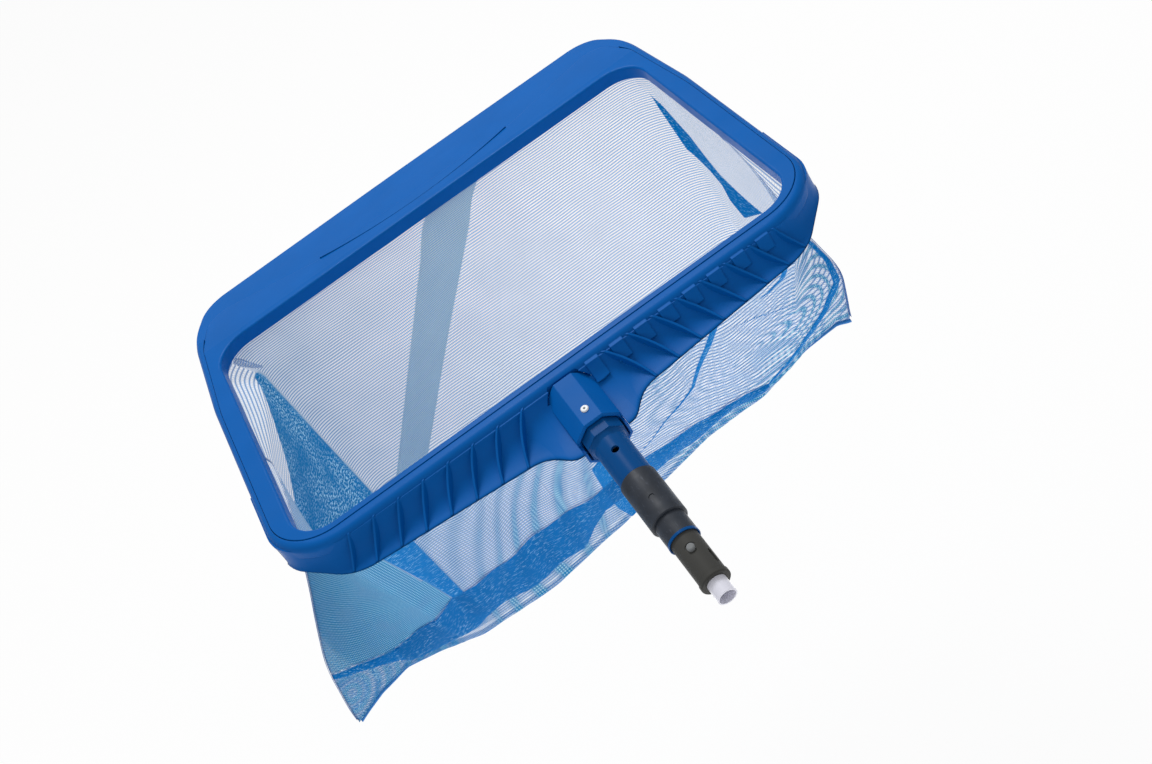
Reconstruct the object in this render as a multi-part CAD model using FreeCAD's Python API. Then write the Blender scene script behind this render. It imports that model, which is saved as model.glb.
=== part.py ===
import FreeCAD, Part
import math
import os

V = FreeCAD.Vector

# Leaf skimmer net.  Sizes in millimetres.
# The net frame lies level: +X along its long side, +Y from the handle to the
# front lip, +Z up.  Everything is modelled about the centre of the clear
# opening, on the plane of the rim's top, and moved at the end so that the
# origin is the free end of the pole, where the tool is held.

# Clear opening and rim.
open_w = 470.0        # opening, left to right
open_d = 302.0        # opening, handle side to lip side
open_r = 32.0         # corner radius of the opening
rim_h = 13.0          # height of the inner wall
wall_t = 2.6          # moulding wall
retainer_side = 16.0  # width of the net retainer on the sides
retainer_near = 7.0   # width of the net retainer on the handle side
retainer_mid = 17.0   # width of the net retainer at the middle of the lip
retainer_far = 66.0   # reach of the retainer's far corners past the opening
retainer_gap = 0.6    # joint line between retainer and frame
retainer_round = 2.2  # rounding of the retainer's inner edge
edge_w = 6.5          # visible frame edge outside the retainer
near_w = 19.0         # width of the handle-side bead
near_r = 60.0         # corner radius of the bead on the handle side
bead_round = 6.5      # rounding of the frame's outer top edge
frame_step = 0.6      # frame's top below the retainer's
hem_gap = 0.5         # space for the hem under the retainer
skirt_t = 3.0         # wall of the hollow sides and bead

# Scoop lip.
lip_reach = 94.5      # lip edge from the opening
lip_drop = 9.0        # fall of the lip from the rim to its edge
lip_bow = 2.5         # bow of the lip's edge
lip_t = 3.0           # thickness of the lip
lip_end_x = 33.0      # inset of the lip's corner from the side
lip_side_y = 39.0     # start of the lip's slanted end past the opening
lip_side_in = 7.5     # how far the sides draw in there
skirt_end = 30.0      # end of the side skirts past the opening
lip_r = 34.0          # radius of the lip's corners
lip_ribs = 9          # stiffening ribs under the lip
lip_rib_t = 2.0
lip_rib_h = 4.5

# Apron and gusset ribs.
apron_reach = 38.0    # apron edge past the bead, near the socket
apron_drop = 26.0     # level of the apron's edge below the rim's top
apron_start = 1.6     # cove's top past the bead
cove_turn = 84.0      # turn of the cove's curve, from upright to its edge, degrees
cove_levels = 4
apron_top_drop = 5.0
apron_t = 3.0
apron_corner = 46.0   # cut of the apron's corners, along the bead
apron_corner_y = 32.0     # and along the sides
apron_taper = 18.0    # how far the apron's edge draws in towards its corners
tongue_w = 54.0       # tongue under the socket
tongue_reach = 61.0   # tongue's end past the bead
tongue_flare = 19.0
rib_n = 8             # gusset ribs on each side of the socket
rib_first = 30.0      # first rib from the middle, at the bead
rib_pitch = 23.0
rib_t = 2.2
rib_slant = 31.0      # how far a rib leans outwards at the apron's edge
rib_bow = 5.0         # bow of a rib's plan
rib_sink = 4.0        # rib tops below the rim's top, at the bead
rib_mid_drop = 16.5   # and half way to the apron's edge
pad_w = 12.0          # raised pads at the cove's top, one beside each right-hand rib
pad_rise = 1.6
pad_drop = 15.5       # lower edge of the pads

# Handle axis, from the start of the socket down to the pole's end.
tilt = 10.0           # handle below the plane of the frame, degrees
socket_setback = 16.0     # socket's start past the opening
axis_drop = 21.4      # handle axis below the rim's top at the socket's start
socket_af = 40.0      # octagonal socket, across flats
socket_len = 52.0
socket_wall = 3.7
socket_floor = 4.0
socket_edge = 1.2     # chamfer of the socket's back and mouth
pocket_gap = 1.8      # clear slot in the bead round the socket's start
pocket_len = 7.0
chin_rise = 3.5       # chin's edge above the handle axis
chin_len = 8.0        # chin under the neck, past the socket's mouth
rivet_s = 38.0
rivet_head_r = 3.2
rivet_head_h = 1.3
rivet_r = 2.4
rivet_bore_r = 1.0
rivet_grip = 7.0

# Neck tube with its octagonal plug.
plug_fit = 0.25       # plug in the socket, per side
plug_show = 9.5       # plug past the socket's mouth
neck_r = 13.75
neck_thin_r = 12.1    # under the sleeve
neck_len = 171.0      # end of the neck tube, from the socket's start
neck_ring_r = 12.8
neck_ring_w = 2.2
hole_s = 80.0         # snap hole
hole_r = 3.1
bore_fit = 0.07       # adapter in the neck tube, per side

# Grip sleeve.
sleeve_s = 105.0
sleeve_r = 14.8
sleeve_step_s = 151.0
sleeve_tail_r = 12.6
sleeve_fit = 0.03
dimple_s = 134.0
dimple_r = 2.6
dimple_deep = 0.5

# Pole adapter, snap buttons and pole.
adapter_r = 11.2
adapter_wall = 2.0
adapter_in = 55.0     # length inside the neck tube
adapter_len = 41.5    # length outside the neck tube
adapter_rim_r = 11.9
adapter_rim_w = 4.0
chamber_end = 17.5    # end of the button chamber, from the free end
button_s = 14.0       # button past the neck tube's end
button_r = 3.0
button_fit = 0.08
button_out = 2.4      # button above the adapter
button_travel = 2.6
button_flange_r = 4.2
button_flange_t = 0.9
button_recess_r = 4.6
button_recess = 0.9
slot_len = 13.0
slot_w = 3.0
slot_s = 26.0         # slot centre past the neck tube's end
slot_angle = 58.0     # slot round from the top, degrees
spring_t = 0.7
spring_w = 6.0
spring_len = 30.0
pole_r = 7.6
pole_wall = 1.1
pole_fit = 0.05
pole_in = 16.5        # pole inside the adapter
pole_out = 14.0       # pole past the adapter

# Hem cord, clamped under the retainer.
cord_r = 1.3
cord_in = 7.0         # cord centre from the opening's edge
cord_drop = 4.2
cord_fit = 0.15

# Screws that hold the retainer, driven from below.
screw_r = 1.5
screw_head_r = 3.0
screw_head_h = 2.0
screw_in = 12.2       # screw line from the opening's edge, sides and lip
screw_n_long = 5
screw_n_side = 2

# Net bag, hung under the rim.
hem_side_gap = 0.6    # hem from the retainer's wall
bag_t = 1.3           # thickness given to the cloth
hem_top_drop = 3.4    # hem's edge, beside the cord
bag_depth = 285.0     # rim to bottom seam, at the middle
bag_lean = 0.10       # bottom seam lower to the left
bag_shift = 25.0      # bottom seam towards the handle
bag_tip_left = 334.0  # bottom seam's left tip
bag_tip_right = 266.0     # bottom seam's right tip
bag_seam_w = 5.0      # thickness of the cloth's bottom at the seam
panel_foot = 181.0    # left fold's foot, from the middle
fold_high = 9.0       # height of the near wall's folds
binding_h = 11.0      # bottom binding
binding_t = 3.4
tape_w = 10.0         # side seam tapes
tape_t = 0.9
band_top_w = 60.0     # doubled band across the far panel, at the rim
band_end_w = 27.0
band_top_x = 27.0     # its middle at the rim
band_end_x = -178.0
band_end = 0.59       # share of the bag's depth where it ends
band_t = 0.8
soft_gap = 0.3
seam_band_t = 1.0     # doubled band of cloth above the bottom seam, outside
seam_band_x = 246.0   # half its length
gather_r = 3.4        # puckered corner of the cloth, under the rim


# Plan outlines.

def corner(before, at, after, radius):
    """Arc that rounds one corner of an outline: its two ends and its middle."""
    a = (before - at).normalize()
    b = (after - at).normalize()
    half = a.getAngle(b) / 2
    if radius <= 0:
        return None
    if half > math.radians(89.5):
        return at + a * 4.0, None, at + b * 4.0
    reach = radius / math.tan(half)
    centre = at + (a + b).normalize() * (radius / math.sin(half))
    middle = centre + (at - centre).normalize() * radius
    return at + a * reach, middle, at + b * reach


def outline(points, radii, z):
    """Closed wire through corner points at height z, each corner rounded."""
    pts = [V(x, y, z) for x, y in points]
    n = len(pts)
    arcs = []
    for i in range(n):
        arcs.append(corner(pts[i - 1], pts[i], pts[(i + 1) % n], radii[i]))
    edges = []
    for i in range(n):
        nxt = arcs[(i + 1) % n]
        if arcs[i] and arcs[i][1]:
            edges.append(Part.Arc(*arcs[i]).toShape())
        elif arcs[i]:
            edges.append(Part.LineSegment(arcs[i][0], arcs[i][2]).toShape())
        start = arcs[i][2] if arcs[i] else pts[i]
        end = nxt[0] if nxt else pts[(i + 1) % n]
        if start.distanceToPoint(end) > 1e-6:
            edges.append(Part.LineSegment(start, end).toShape())
    return Part.Wire(edges)


def mirrored(half, radii):
    """Both halves of an outline from its right half, listed from the front."""
    left = [(-x, y) for x, y in reversed(half) if x > 0]
    left_r = [r for (x, y), r in zip(reversed(half), reversed(radii)) if x > 0]
    return half + left, radii + left_r


def slab(wire, z0, z1):
    """Solid between two heights inside a plan wire."""
    face = Part.Face(wire)
    face.translate(V(0, 0, z0 - face.BoundBox.ZMin))
    return face.extrude(V(0, 0, z1 - z0))


def opening_wire(grow, z=0.0):
    """The clear opening's outline, grown outwards."""
    x = open_w / 2 + grow
    y = open_d / 2 + grow
    r = open_r + grow
    return outline([(x, y), (x, -y), (-x, -y), (-x, y)], [r] * 4, z)


def frame_wire(grow, z=0.0):
    """Outer plan of lip, sides and handle-side bead."""
    x = open_w / 2 + retainer_side + edge_w + grow
    y = open_d / 2
    half = [(0, y + lip_reach + grow),
            (x - lip_end_x, y + lip_reach - lip_bow + grow),
            (x - lip_side_in, y + lip_side_y),
            (x, y * 0.5),
            (x, -y - near_w - grow)]
    pts, radii = mirrored(half, [3000.0, lip_r, 120.0, 200.0, near_r])
    return outline(pts, radii, z)


def retainer_wire(grow, z=0.0):
    """Outer plan of the net retainer: bowed in at the middle of the lip."""
    x = open_w / 2 + retainer_side + grow
    y = open_d / 2
    far = y + retainer_far + grow
    half = [(0, y + retainer_mid - 21.0 + grow),
            (x - 25.0, far),
            (x - 8.0, y + 14.0),
            (x, y * 0.4),
            (x, -y - retainer_near - grow)]
    pts, radii = mirrored(half, [420.0, 24.0 + grow, 60.0, 300.0, 48.0 + grow])
    return outline(pts, radii, z)


# Section of rim and lip, extruded along X.

def top_line(drop):
    """Profile points of the top surface, lowered by drop, lip edge first."""
    y = open_d / 2
    far = y + lip_reach + 2
    return [V(0, far, -lip_drop - drop),
            V(0, y + lip_reach * 0.55, -lip_drop * 0.42 - drop),
            V(0, y + 8, -drop),
            V(0, -y - near_w - 2, -drop)]


def layer(top, bottom):
    """Sheet of the moulding between two depths below the top surface."""
    w = open_w / 2 + retainer_side + edge_w + 5
    up = top_line(top)
    down = top_line(bottom)
    arc_up = Part.Arc(up[0], up[1], up[2]).toShape()
    arc_down = Part.Arc(down[0], down[1], down[2]).toShape()
    edges = [arc_up, Part.LineSegment(up[2], up[3]).toShape(),
             Part.LineSegment(up[3], down[3]).toShape(), arc_down,
             Part.LineSegment(down[3], down[2]).toShape(),
             Part.LineSegment(down[0], up[0]).toShape()]
    face = Part.Face(Part.Wire(Part.__sortEdges__(edges)))
    face.translate(V(-w, 0, 0))
    return face.extrude(V(2 * w, 0, 0))


# Handle frame.

cos_t = math.cos(math.radians(tilt))
sin_t = math.sin(math.radians(tilt))
axis_dir = V(0, -cos_t, -sin_t)
axis_up = V(0, -sin_t, cos_t)
axis_start = V(0, -open_d / 2 - socket_setback, -axis_drop)
pole_end_s = neck_len + adapter_len + pole_out


def on_handle(shape):
    """Moves a shape built along +Z, its top towards +Y, onto the handle."""
    m = FreeCAD.Matrix()
    side = axis_up.cross(axis_dir)
    m.A11, m.A21, m.A31 = side.x, side.y, side.z
    m.A12, m.A22, m.A32 = axis_up.x, axis_up.y, axis_up.z
    m.A13, m.A23, m.A33 = axis_dir.x, axis_dir.y, axis_dir.z
    m.A14, m.A24, m.A34 = axis_start.x, axis_start.y, axis_start.z
    moved = shape.copy()
    moved.Placement = FreeCAD.Placement(m).multiply(shape.Placement)
    return moved


def octagon(across, z0, z1):
    """Octagonal prism along +Z with a flat on top."""
    r = across / 2 / math.cos(math.pi / 8)
    pts = []
    for i in range(9):
        a = math.pi / 8 + i * math.pi / 4
        pts.append(V(r * math.cos(a), r * math.sin(a), z0))
    return Part.Face(Part.makePolygon(pts)).extrude(V(0, 0, z1 - z0))


def octagon_taper(af0, af1, z0, z1):
    """Octagonal frustum along +Z."""
    wires = []
    for af, z in ((af0, z0), (af1, z1)):
        r = af / 2 / math.cos(math.pi / 8)
        pts = []
        for i in range(9):
            a = math.pi / 8 + i * math.pi / 4
            pts.append(V(r * math.cos(a), r * math.sin(a), z))
        wires.append(Part.makePolygon(pts))
    return Part.makeLoft(wires, True, True)


def rod(r, z0, z1):
    return Part.makeCylinder(r, z1 - z0, V(0, 0, z0))


def cross_hole(r, s, reach=40.0, both=True):
    """Round cutter square to the handle axis, through the top or both sides."""
    start = -reach if both else 0.0
    return Part.makeCylinder(r, reach - start, V(0, start, s), V(0, 1, 0))


# Frame moulding.

def apron_wire(inset, reach, flare, z, side=0.5):
    """Plan of the apron at one level: tongue, flare, edge and corners."""
    x = open_w / 2 + retainer_side + edge_w + side
    y = -open_d / 2 - near_w + inset
    t = tongue_w / 2
    corner_reach = max(reach - apron_taper, 0.4 * reach)
    half = [(t, y - flare),
            (t + tongue_flare, y - reach),
            (x - apron_corner, y - corner_reach),
            (x, y + apron_corner_y),
            (x, -open_d * 0.2 + 2 * side)]
    radii = [4.0 + 0.15 * flare, 6.0 + 0.6 * reach, 50.0, 44.0, 0.0]
    left = [(-px, py) for px, py in reversed(half)]
    return outline(half + left, radii + radii[::-1], z)


def apron_solid(drop):
    """The cove's solid under its surface, lowered by drop and drawn in."""
    turn = math.radians(cove_turn)
    side = 1.5 if drop else 0.5
    wires = []
    for k in range(cove_levels):
        a = turn * k / (cove_levels - 1)
        out = (1 - math.cos(a)) / (1 - math.cos(turn))
        fall = math.sin(a) / math.sin(turn)
        reach = apron_start + (apron_reach - apron_start) * out
        flare = apron_start + (tongue_reach - apron_start) * out
        z = -apron_top_drop - (apron_drop - apron_top_drop) * fall - drop
        wires.append(apron_wire(0.8 * drop * (1 - out), reach, flare, z, side))
    return Part.makeLoft(wires, True, False)


def rib_wall(x0, slant, side):
    """Upright wall of one rib in plan: bowed, leaning away from the socket."""
    y0 = -open_d / 2 - near_w + 6
    y1 = -open_d / 2 - near_w - apron_reach - 4
    arcs = []
    for off in (-rib_t / 2, rib_t / 2):
        a = V(side * (x0 + off), y0, -60)
        b = V(side * (x0 + slant + off), y1, -60)
        m = (a + b) * 0.5 + V(side * rib_bow, rib_bow * 0.5, 0)
        arcs.append((a, m, b))
    edges = [Part.Arc(*arcs[0]).toShape(),
             Part.LineSegment(arcs[0][2], arcs[1][2]).toShape(),
             Part.Arc(*arcs[1]).toShape(),
             Part.LineSegment(arcs[1][0], arcs[0][0]).toShape()]
    face = Part.Face(Part.Wire(Part.__sortEdges__(edges)))
    return face.extrude(V(0, 0, 60))


def ribs():
    """Gusset ribs between the bead and the apron's edge, over the cove."""
    wires = [apron_wire(-0.3, 0.8, 1.6, -rib_sink),
             apron_wire(0.0, 0.52 * apron_reach, 0.5 * tongue_reach, -rib_mid_drop),
             apron_wire(0.0, apron_reach - 1.0, tongue_reach, -apron_drop + 0.5)]
    envelope = Part.makeLoft(wires, True, False).cut(apron_solid(apron_t * 0.5))
    found = []
    for side in (1, -1):
        for i in range(rib_n):
            wall = rib_wall(rib_first + i * rib_pitch, rib_slant + 0.5 * i, side)
            found.append(wall.common(envelope))
    return found


def pads():
    """Raised square pads between the bead and the cove, beside the ribs."""
    raised = apron_solid(-pad_rise)
    y = -open_d / 2 - near_w
    boxes = []
    for i in range(rib_n):
        x = rib_first + 3.0 + i * rib_pitch
        boxes.append(Part.makeBox(pad_w, 24, pad_drop - 2, V(x - pad_w, y - 20, -pad_drop)))
    return [raised.common(box) for box in boxes]


def outer_frame():
    """Lip, sides, bead, apron, ribs and handle socket in one moulding."""
    plan = rounded_plan()
    inner = slab(opening_wire(hem_in()), -80, 20)
    seat = slab(retainer_wire(retainer_gap), -80, 20)
    under = wall_t + hem_gap
    shelf = layer(under, under + lip_t).common(plan)
    shelf = shelf.common(slab(retainer_wire(4.0), -80, 20))
    blade = layer(frame_step, frame_step + lip_t).common(plan).cut(seat)
    body = shelf.fuse([blade, side_skirt(plan), lip_stiffeners()]).cut(inner)
    inside = slab(opening_wire(near_w - 5.0), -80, 20)
    shell = apron_solid(0.0).cut(apron_solid(apron_t)).cut(inside)
    body = body.fuse([shell] + [r.cut(inside) for r in ribs() + pads()])
    body = with_socket(body)
    cutters = [cord_ring(cord_r + cord_fit)]
    seat_z = -under - lip_t
    for x, y in screw_points():
        cutters.append(Part.makeCylinder(screw_r + 0.1, 20, V(x, y, seat_z - 5)))
        cutters.append(Part.makeCylinder(screw_head_r + 0.3, 9, V(x, y, seat_z - 9)))
    return body.cut(cutters).removeSplitter()


def hem_in():
    """Inner edge of the shelf that carries the retainer, from the opening."""
    return wall_t + 2 * hem_side_gap + bag_t


def rounded_plan():
    """Whole plan as a solid whose outer top edge is rounded."""
    block = slab(frame_wire(0.0), -60, -frame_step)
    top = [e for e in block.Edges
           if e.BoundBox.ZLength < 0.01 and abs(e.BoundBox.ZMin + frame_step) < 0.01]
    return block.makeFillet(bead_round, top)


def side_skirt(plan):
    """Hollow sides and handle-side bead, down to the rim's lower edge."""
    skirt = plan.common(slab(frame_wire(5.0), -rim_h, 10))
    skirt = skirt.cut(slab(retainer_wire(retainer_gap), -80, 20))
    wall = skirt_t
    hollow = slab(frame_wire(-wall), -rim_h - 1, -wall_t - hem_gap - lip_t)
    hollow = hollow.cut(slab(retainer_wire(retainer_gap + wall), -80, 20))
    corner_at = V(-socket_af / 2 - 12, -open_d / 2 - 50, -60)
    solid = Part.makeBox(socket_af + 24, 60, 80, corner_at)
    skirt = skirt.cut(hollow.cut(solid))
    far = Part.makeBox(900, 400, 100, V(-450, open_d / 2 + skirt_end, -60))
    return skirt.cut(far)


def lip_stiffeners():
    """Ribs under the lip, running from the rim to the lip's edge."""
    y = open_d / 2
    span = open_w - 60.0
    bars = []
    for i in range(lip_ribs):
        x = -span / 2 + span * i / (lip_ribs - 1) - lip_rib_t / 2
        bars.append(Part.makeBox(lip_rib_t, lip_reach - 24, 60, V(x, y + 18, -40)))
    depth = frame_step + lip_t - 0.5
    under = layer(depth, depth + lip_rib_h)
    return Part.makeCompound(bars).common(under)


def with_socket(body):
    """Adds the octagonal socket, its slot in the bead and the chin."""
    above = Part.makeBox(90, 60, 200, V(-45, chin_rise, -60))
    below = Part.makeBox(90, 60, 200, V(-45, chin_rise - 60, -60))
    pocket = octagon(socket_af + 2 * pocket_gap, -pocket_gap, pocket_len)
    body = body.cut(on_handle(pocket.common(above)))
    ahead = octagon(socket_af, socket_len, socket_len + 60)
    body = body.cut(on_handle(ahead))
    core = octagon(socket_af, socket_edge, socket_len - socket_edge)
    back = octagon_taper(socket_af - 2 * socket_edge, socket_af, 0, socket_edge)
    mouth = octagon_taper(socket_af, socket_af - 2 * socket_edge,
                          socket_len - socket_edge, socket_len)
    chin = octagon(socket_af, socket_len - 4, socket_len + chin_len).common(below)
    body = body.fuse([on_handle(s) for s in (core, back, mouth, chin)])
    bore_af = socket_af - 2 * socket_wall
    flare = octagon_taper(bore_af, bore_af + 3.0, socket_len - 1.5, socket_len + 0.01)
    slot = octagon(bore_af + 3.0, socket_len, socket_len + chin_len + 30)
    bore = octagon(bore_af, socket_floor, socket_len + 1)
    tools = [bore, flare, slot, cross_hole(rivet_r + 0.05, rivet_s, 40, False)]
    return body.cut([on_handle(s) for s in tools])


# Net retainer, cord and screws.

def cord_ring(r):
    """Round cord that follows the opening under the retainer."""
    path = opening_wire(cord_in, -cord_drop)
    start = path.Edges[1].valueAt(path.Edges[1].FirstParameter)
    along = path.Edges[1].tangentAt(path.Edges[1].FirstParameter)
    edges = path.Edges[1:] + path.Edges[:1]
    circle = Part.Wire(Part.Circle(start, along, r).toShape())
    return Part.Wire(edges).makePipeShell([circle], True, False)


def net_retainer():
    """Bezel that clamps the hem: flush plate, inner wall, rounded edge."""
    plan = slab(retainer_wire(0.0), -60, 20)
    plate = layer(0.0, wall_t).common(plan)
    wall = slab(opening_wire(wall_t), -rim_h, -1.0)
    body = plate.fuse(wall).cut(slab(opening_wire(0.0), -80, 30)).removeSplitter()
    edges = []
    for e in body.Edges:
        box = e.BoundBox
        inside = max(abs(box.XMin), abs(box.XMax)) < open_w / 2 + 0.1
        inside = inside and max(abs(box.YMin), abs(box.YMax)) < open_d / 2 + 0.1
        if inside and box.ZMin > -0.01:
            edges.append(e)
    body = body.makeFillet(retainer_round, edges)
    pilots = []
    for x, y in screw_points():
        pilots.append(Part.makeCylinder(screw_r, 30, V(x, y, -31.1)))
    return body.cut(pilots)


def screw_points():
    """Screw places round the retainer."""
    places = []
    x = open_w / 2 + screw_in
    y = open_d / 2 + screw_in
    for i in range(screw_n_side):
        py = -open_d * 0.26 + i * open_d * 0.52 / (screw_n_side - 1)
        places.append((x, py))
        places.append((-x, py))
    for i in range(screw_n_long):
        px = -open_w * 0.4 + i * open_w * 0.8 / (screw_n_long - 1)
        places.append((px, y))
    return places


def retainer_screws():
    """Pan-head screws under the shelf, shanks up into the retainer."""
    items = []
    seat = -wall_t - hem_gap - lip_t
    for x, y in screw_points():
        head = Part.makeCylinder(screw_head_r, screw_head_h, V(x, y, seat - screw_head_h))
        shank = Part.makeCylinder(screw_r - 0.03, -seat - 1.3, V(x, y, seat))
        items.append(head.fuse(shank))
    return Part.makeCompound(items)


# Handle pieces, along +Z from the socket's start.

def bore_radius():
    return adapter_r + bore_fit


def neck_tube():
    """Octagonal plug, shoulder, tube with snap holes, thin tail and ring."""
    plug_af = socket_af - 2 * socket_wall - 2 * plug_fit
    plug_end = socket_len + plug_show
    plug = octagon(plug_af, socket_floor + 0.6, plug_end)
    shoulder = Part.makeCone(plug_af / 2 - 0.6, neck_r, 4.0, V(0, 0, plug_end))
    tube = rod(neck_r, plug_end, sleeve_s)
    tail = rod(neck_thin_r, plug_end, neck_len)
    ring = rod(neck_ring_r, neck_len - neck_ring_w, neck_len)
    body = plug.fuse([shoulder, tube, tail, ring])
    bore = rod(bore_radius(), socket_floor + 4.5, neck_len + 1)
    mouth = Part.makeCone(bore_radius(), bore_radius() + 0.8, 0.8, V(0, 0, neck_len - 0.8))
    holes = cross_hole(hole_r, hole_s)
    rivet = cross_hole(rivet_r + 0.05, rivet_s, 40, False)
    floor = Part.makeBox(60, socket_af / 2 - rivet_grip, 60, V(-30, 0, rivet_s - 30))
    return body.cut([bore, mouth, holes, rivet.cut(floor)])


def socket_rivet():
    """Tubular rivet through the top of the socket into the plug."""
    top = socket_af / 2
    head = Part.makeCylinder(rivet_head_r, rivet_head_h, V(0, top + 0.02, rivet_s), V(0, 1, 0))
    crown = [e for e in head.Edges if e.BoundBox.YMin > top + rivet_head_h - 0.05]
    head = head.makeChamfer(rivet_head_h * 0.5, crown)
    foot = top - rivet_grip
    shank = Part.makeCylinder(rivet_r, rivet_grip + 0.1, V(0, foot + 0.1, rivet_s), V(0, 1, 0))
    bore = Part.makeCylinder(rivet_bore_r, 30, V(0, foot + 1.5, rivet_s), V(0, 1, 0))
    return head.fuse(shank).cut(bore)


def grip_sleeve():
    """Dark sleeve over the neck, stepped down to a thin tail."""
    grip = rod(sleeve_r, sleeve_s + sleeve_fit, sleeve_step_s)
    grip = grip.makeChamfer(0.8, grip.Edges[0:1] + grip.Edges[2:3])
    tail = rod(sleeve_tail_r, sleeve_s + 5, neck_len - neck_ring_w - sleeve_fit)
    body = grip.fuse(tail).cut(rod(neck_thin_r + sleeve_fit, 0, neck_len + 5))
    dimple = cross_hole(dimple_r, dimple_s, sleeve_r + 5, True)
    dimple = dimple.cut(rod(sleeve_r - dimple_deep, 0, neck_len))
    return body.cut(dimple)


def adapter_front():
    return neck_len - adapter_in


def pole_adapter():
    """Tube that slides in the neck: rim, chamber, button holes and slot."""
    front = adapter_front()
    end = neck_len + adapter_len
    body = rod(adapter_r, front, end)
    body = body.makeChamfer(0.8, [e for e in body.Edges if e.BoundBox.ZMax < front + 0.1])
    rim = rod(adapter_rim_r, end - adapter_rim_w, end)
    rim = rim.makeFillet(1.2, [e for e in rim.Edges if e.BoundBox.ZMin > end - 0.1])
    body = body.fuse(rim)
    chamber_r = adapter_r - adapter_wall
    tools = [rod(chamber_r, front - 1, end - chamber_end),
             rod(pole_r + pole_fit, end - chamber_end - 1, end + 1)]
    s = neck_len + button_s
    tools.append(cross_hole(button_r + button_fit, s))
    for up in (1, -1):
        floor = V(0, up * (adapter_r - button_recess), s)
        tools.append(Part.makeCylinder(button_recess_r, 10, floor, V(0, up, 0)))
    tools.append(side_slot())
    return body.cut(tools)


def side_slot():
    """Round-ended slot through the adapter's wall, turned from the top."""
    s = neck_len + slot_s
    half = (slot_len - slot_w) / 2
    length = adapter_r + 5
    box = Part.makeBox(slot_w, length, 2 * half, V(-slot_w / 2, 0, s - half))
    ends = []
    for k in (-1, 1):
        ends.append(Part.makeCylinder(slot_w / 2, length, V(0, 0, s + k * half), V(0, 1, 0)))
    tool = box.fuse(ends)
    tool.rotate(V(0, 0, 0), V(0, 0, 1), -slot_angle)
    return tool


def flange_seat():
    """Height of a button flange's top above the handle axis."""
    chamber_r = adapter_r - adapter_wall
    return math.sqrt(chamber_r ** 2 - button_flange_r ** 2) - 0.15


def snap_button(up):
    """Domed button with the flange that keeps it in the adapter."""
    s = neck_len + button_s
    seat = flange_seat()
    top = adapter_r + button_out
    stem = Part.makeCylinder(button_r, top - seat + 0.2, V(0, seat - 0.2, s), V(0, 1, 0))
    stem = stem.makeFillet(1.3, [e for e in stem.Edges if e.BoundBox.YMin > top - 0.1])
    foot = V(0, seat - button_flange_t, s)
    flange = Part.makeCylinder(button_flange_r, button_flange_t, foot, V(0, 1, 0))
    body = stem.fuse(flange)
    if up < 0:
        body.rotate(V(0, 0, s), V(0, 0, 1), 180)
    return body


def button_spring():
    """Folded leaf spring whose two arms push the buttons out."""
    outer = flange_seat() - button_flange_t - 0.06
    s1 = neck_len + button_s + 5.0
    s0 = s1 - spring_len
    arms = Part.makeBox(spring_w, 2 * outer, s1 - s0, V(-spring_w / 2, -outer, s0))
    bend = Part.makeCylinder(outer, spring_w, V(-spring_w / 2, 0, s0), V(1, 0, 0))
    half = outer - spring_t
    inner = Part.makeCylinder(half, spring_w, V(-spring_w / 2, 0, s0), V(1, 0, 0))
    slot = Part.makeBox(spring_w, 2 * half, s1 - s0 + 1, V(-spring_w / 2, -half, s0))
    return arms.fuse(bend).cut(inner.fuse(slot))


def pole_tube():
    """End of the pole in the adapter."""
    end = neck_len + adapter_len
    body = rod(pole_r, end - pole_in, end + pole_out)
    return body.cut(rod(pole_r - pole_wall, 0, pole_end_s + 5))


# Net bag.

# Down the bag: share of its depth, how far the walls have closed in, how far
# the side folds stand out, and how deep the near wall's folds are.
bag_shares = ((0.10, 0.12, 0.06, 0.00), (0.24, 0.28, 0.28, 0.35), (0.50, 0.55, 0.66, 0.90),
              (0.76, 0.80, 0.93, 0.80), (0.96, 0.96, 1.00, 0.20), (1.00, 1.00, 1.00, 0.00))


def far_wall(share):
    """Outer face of the far wall along Y at a share of the bag's depth."""
    y = open_d / 2 + wall_t + hem_side_gap + bag_t
    steps = ((0.0, 0.0),) + tuple(s[:2] for s in bag_shares)
    for (s0, f0), (s1, f1) in zip(steps, steps[1:]):
        if share <= s1:
            fall = f0 + (f1 - f0) * (share - s0) / (s1 - s0)
            return y + (bag_seam_w - bag_shift - y) * fall


def bag_z(share):
    """Height of the bag at a share of its depth, at the middle."""
    top = -rim_h - 0.6
    return top + (-bag_depth - top) * share


def bag_levels():
    """Corner points of the bag, level by level: height and plan corners.

    Each level lists the far right and far left corners, the left tip, the
    near left corner, the near wall's two folds, the near right corner and
    the right tip.  The last value of each corner is its rounding.
    """
    g = wall_t + hem_side_gap + bag_t
    x = open_w / 2 + g
    y = open_d / 2 + g
    r = open_r + g
    foot = -bag_shift
    levels = []
    levels.append((0.0, [(x, y, r), (-x, y, r), (-x, 0, 0), (-x, -y, r),
                         (-90, -y, 60), (120, -y, 60), (x, -y, r), (x, 0, 0)]))
    for share, fall, spread, fold in bag_shares:
        far = far_wall(share)
        near = -y + (foot - bag_seam_w + y) * fall
        left = -x + 20 + (x - 20 - panel_foot) * fall
        tip_l = -x + 6 - (bag_tip_left - x) * spread
        tip_r = x - 4 + (bag_tip_right - x) * spread
        right = x - 3 - 12 * fall
        lx = -x + 3 + 30 * fall
        rx = x - 3 - 30 * fall
        out = fold_high * fold
        levels.append((share, [
            (right, far, 14), (left, far, 10), (tip_l, foot * spread + 8 * (1 - spread), 0),
            (lx, near, 16), (-90 + 20 * fall, near + 0.6 * out, 60),
            (120 - 110 * fall, near - out, 60), (rx, near, 16),
            (tip_r, foot * spread, 0)]))
    return levels


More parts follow.
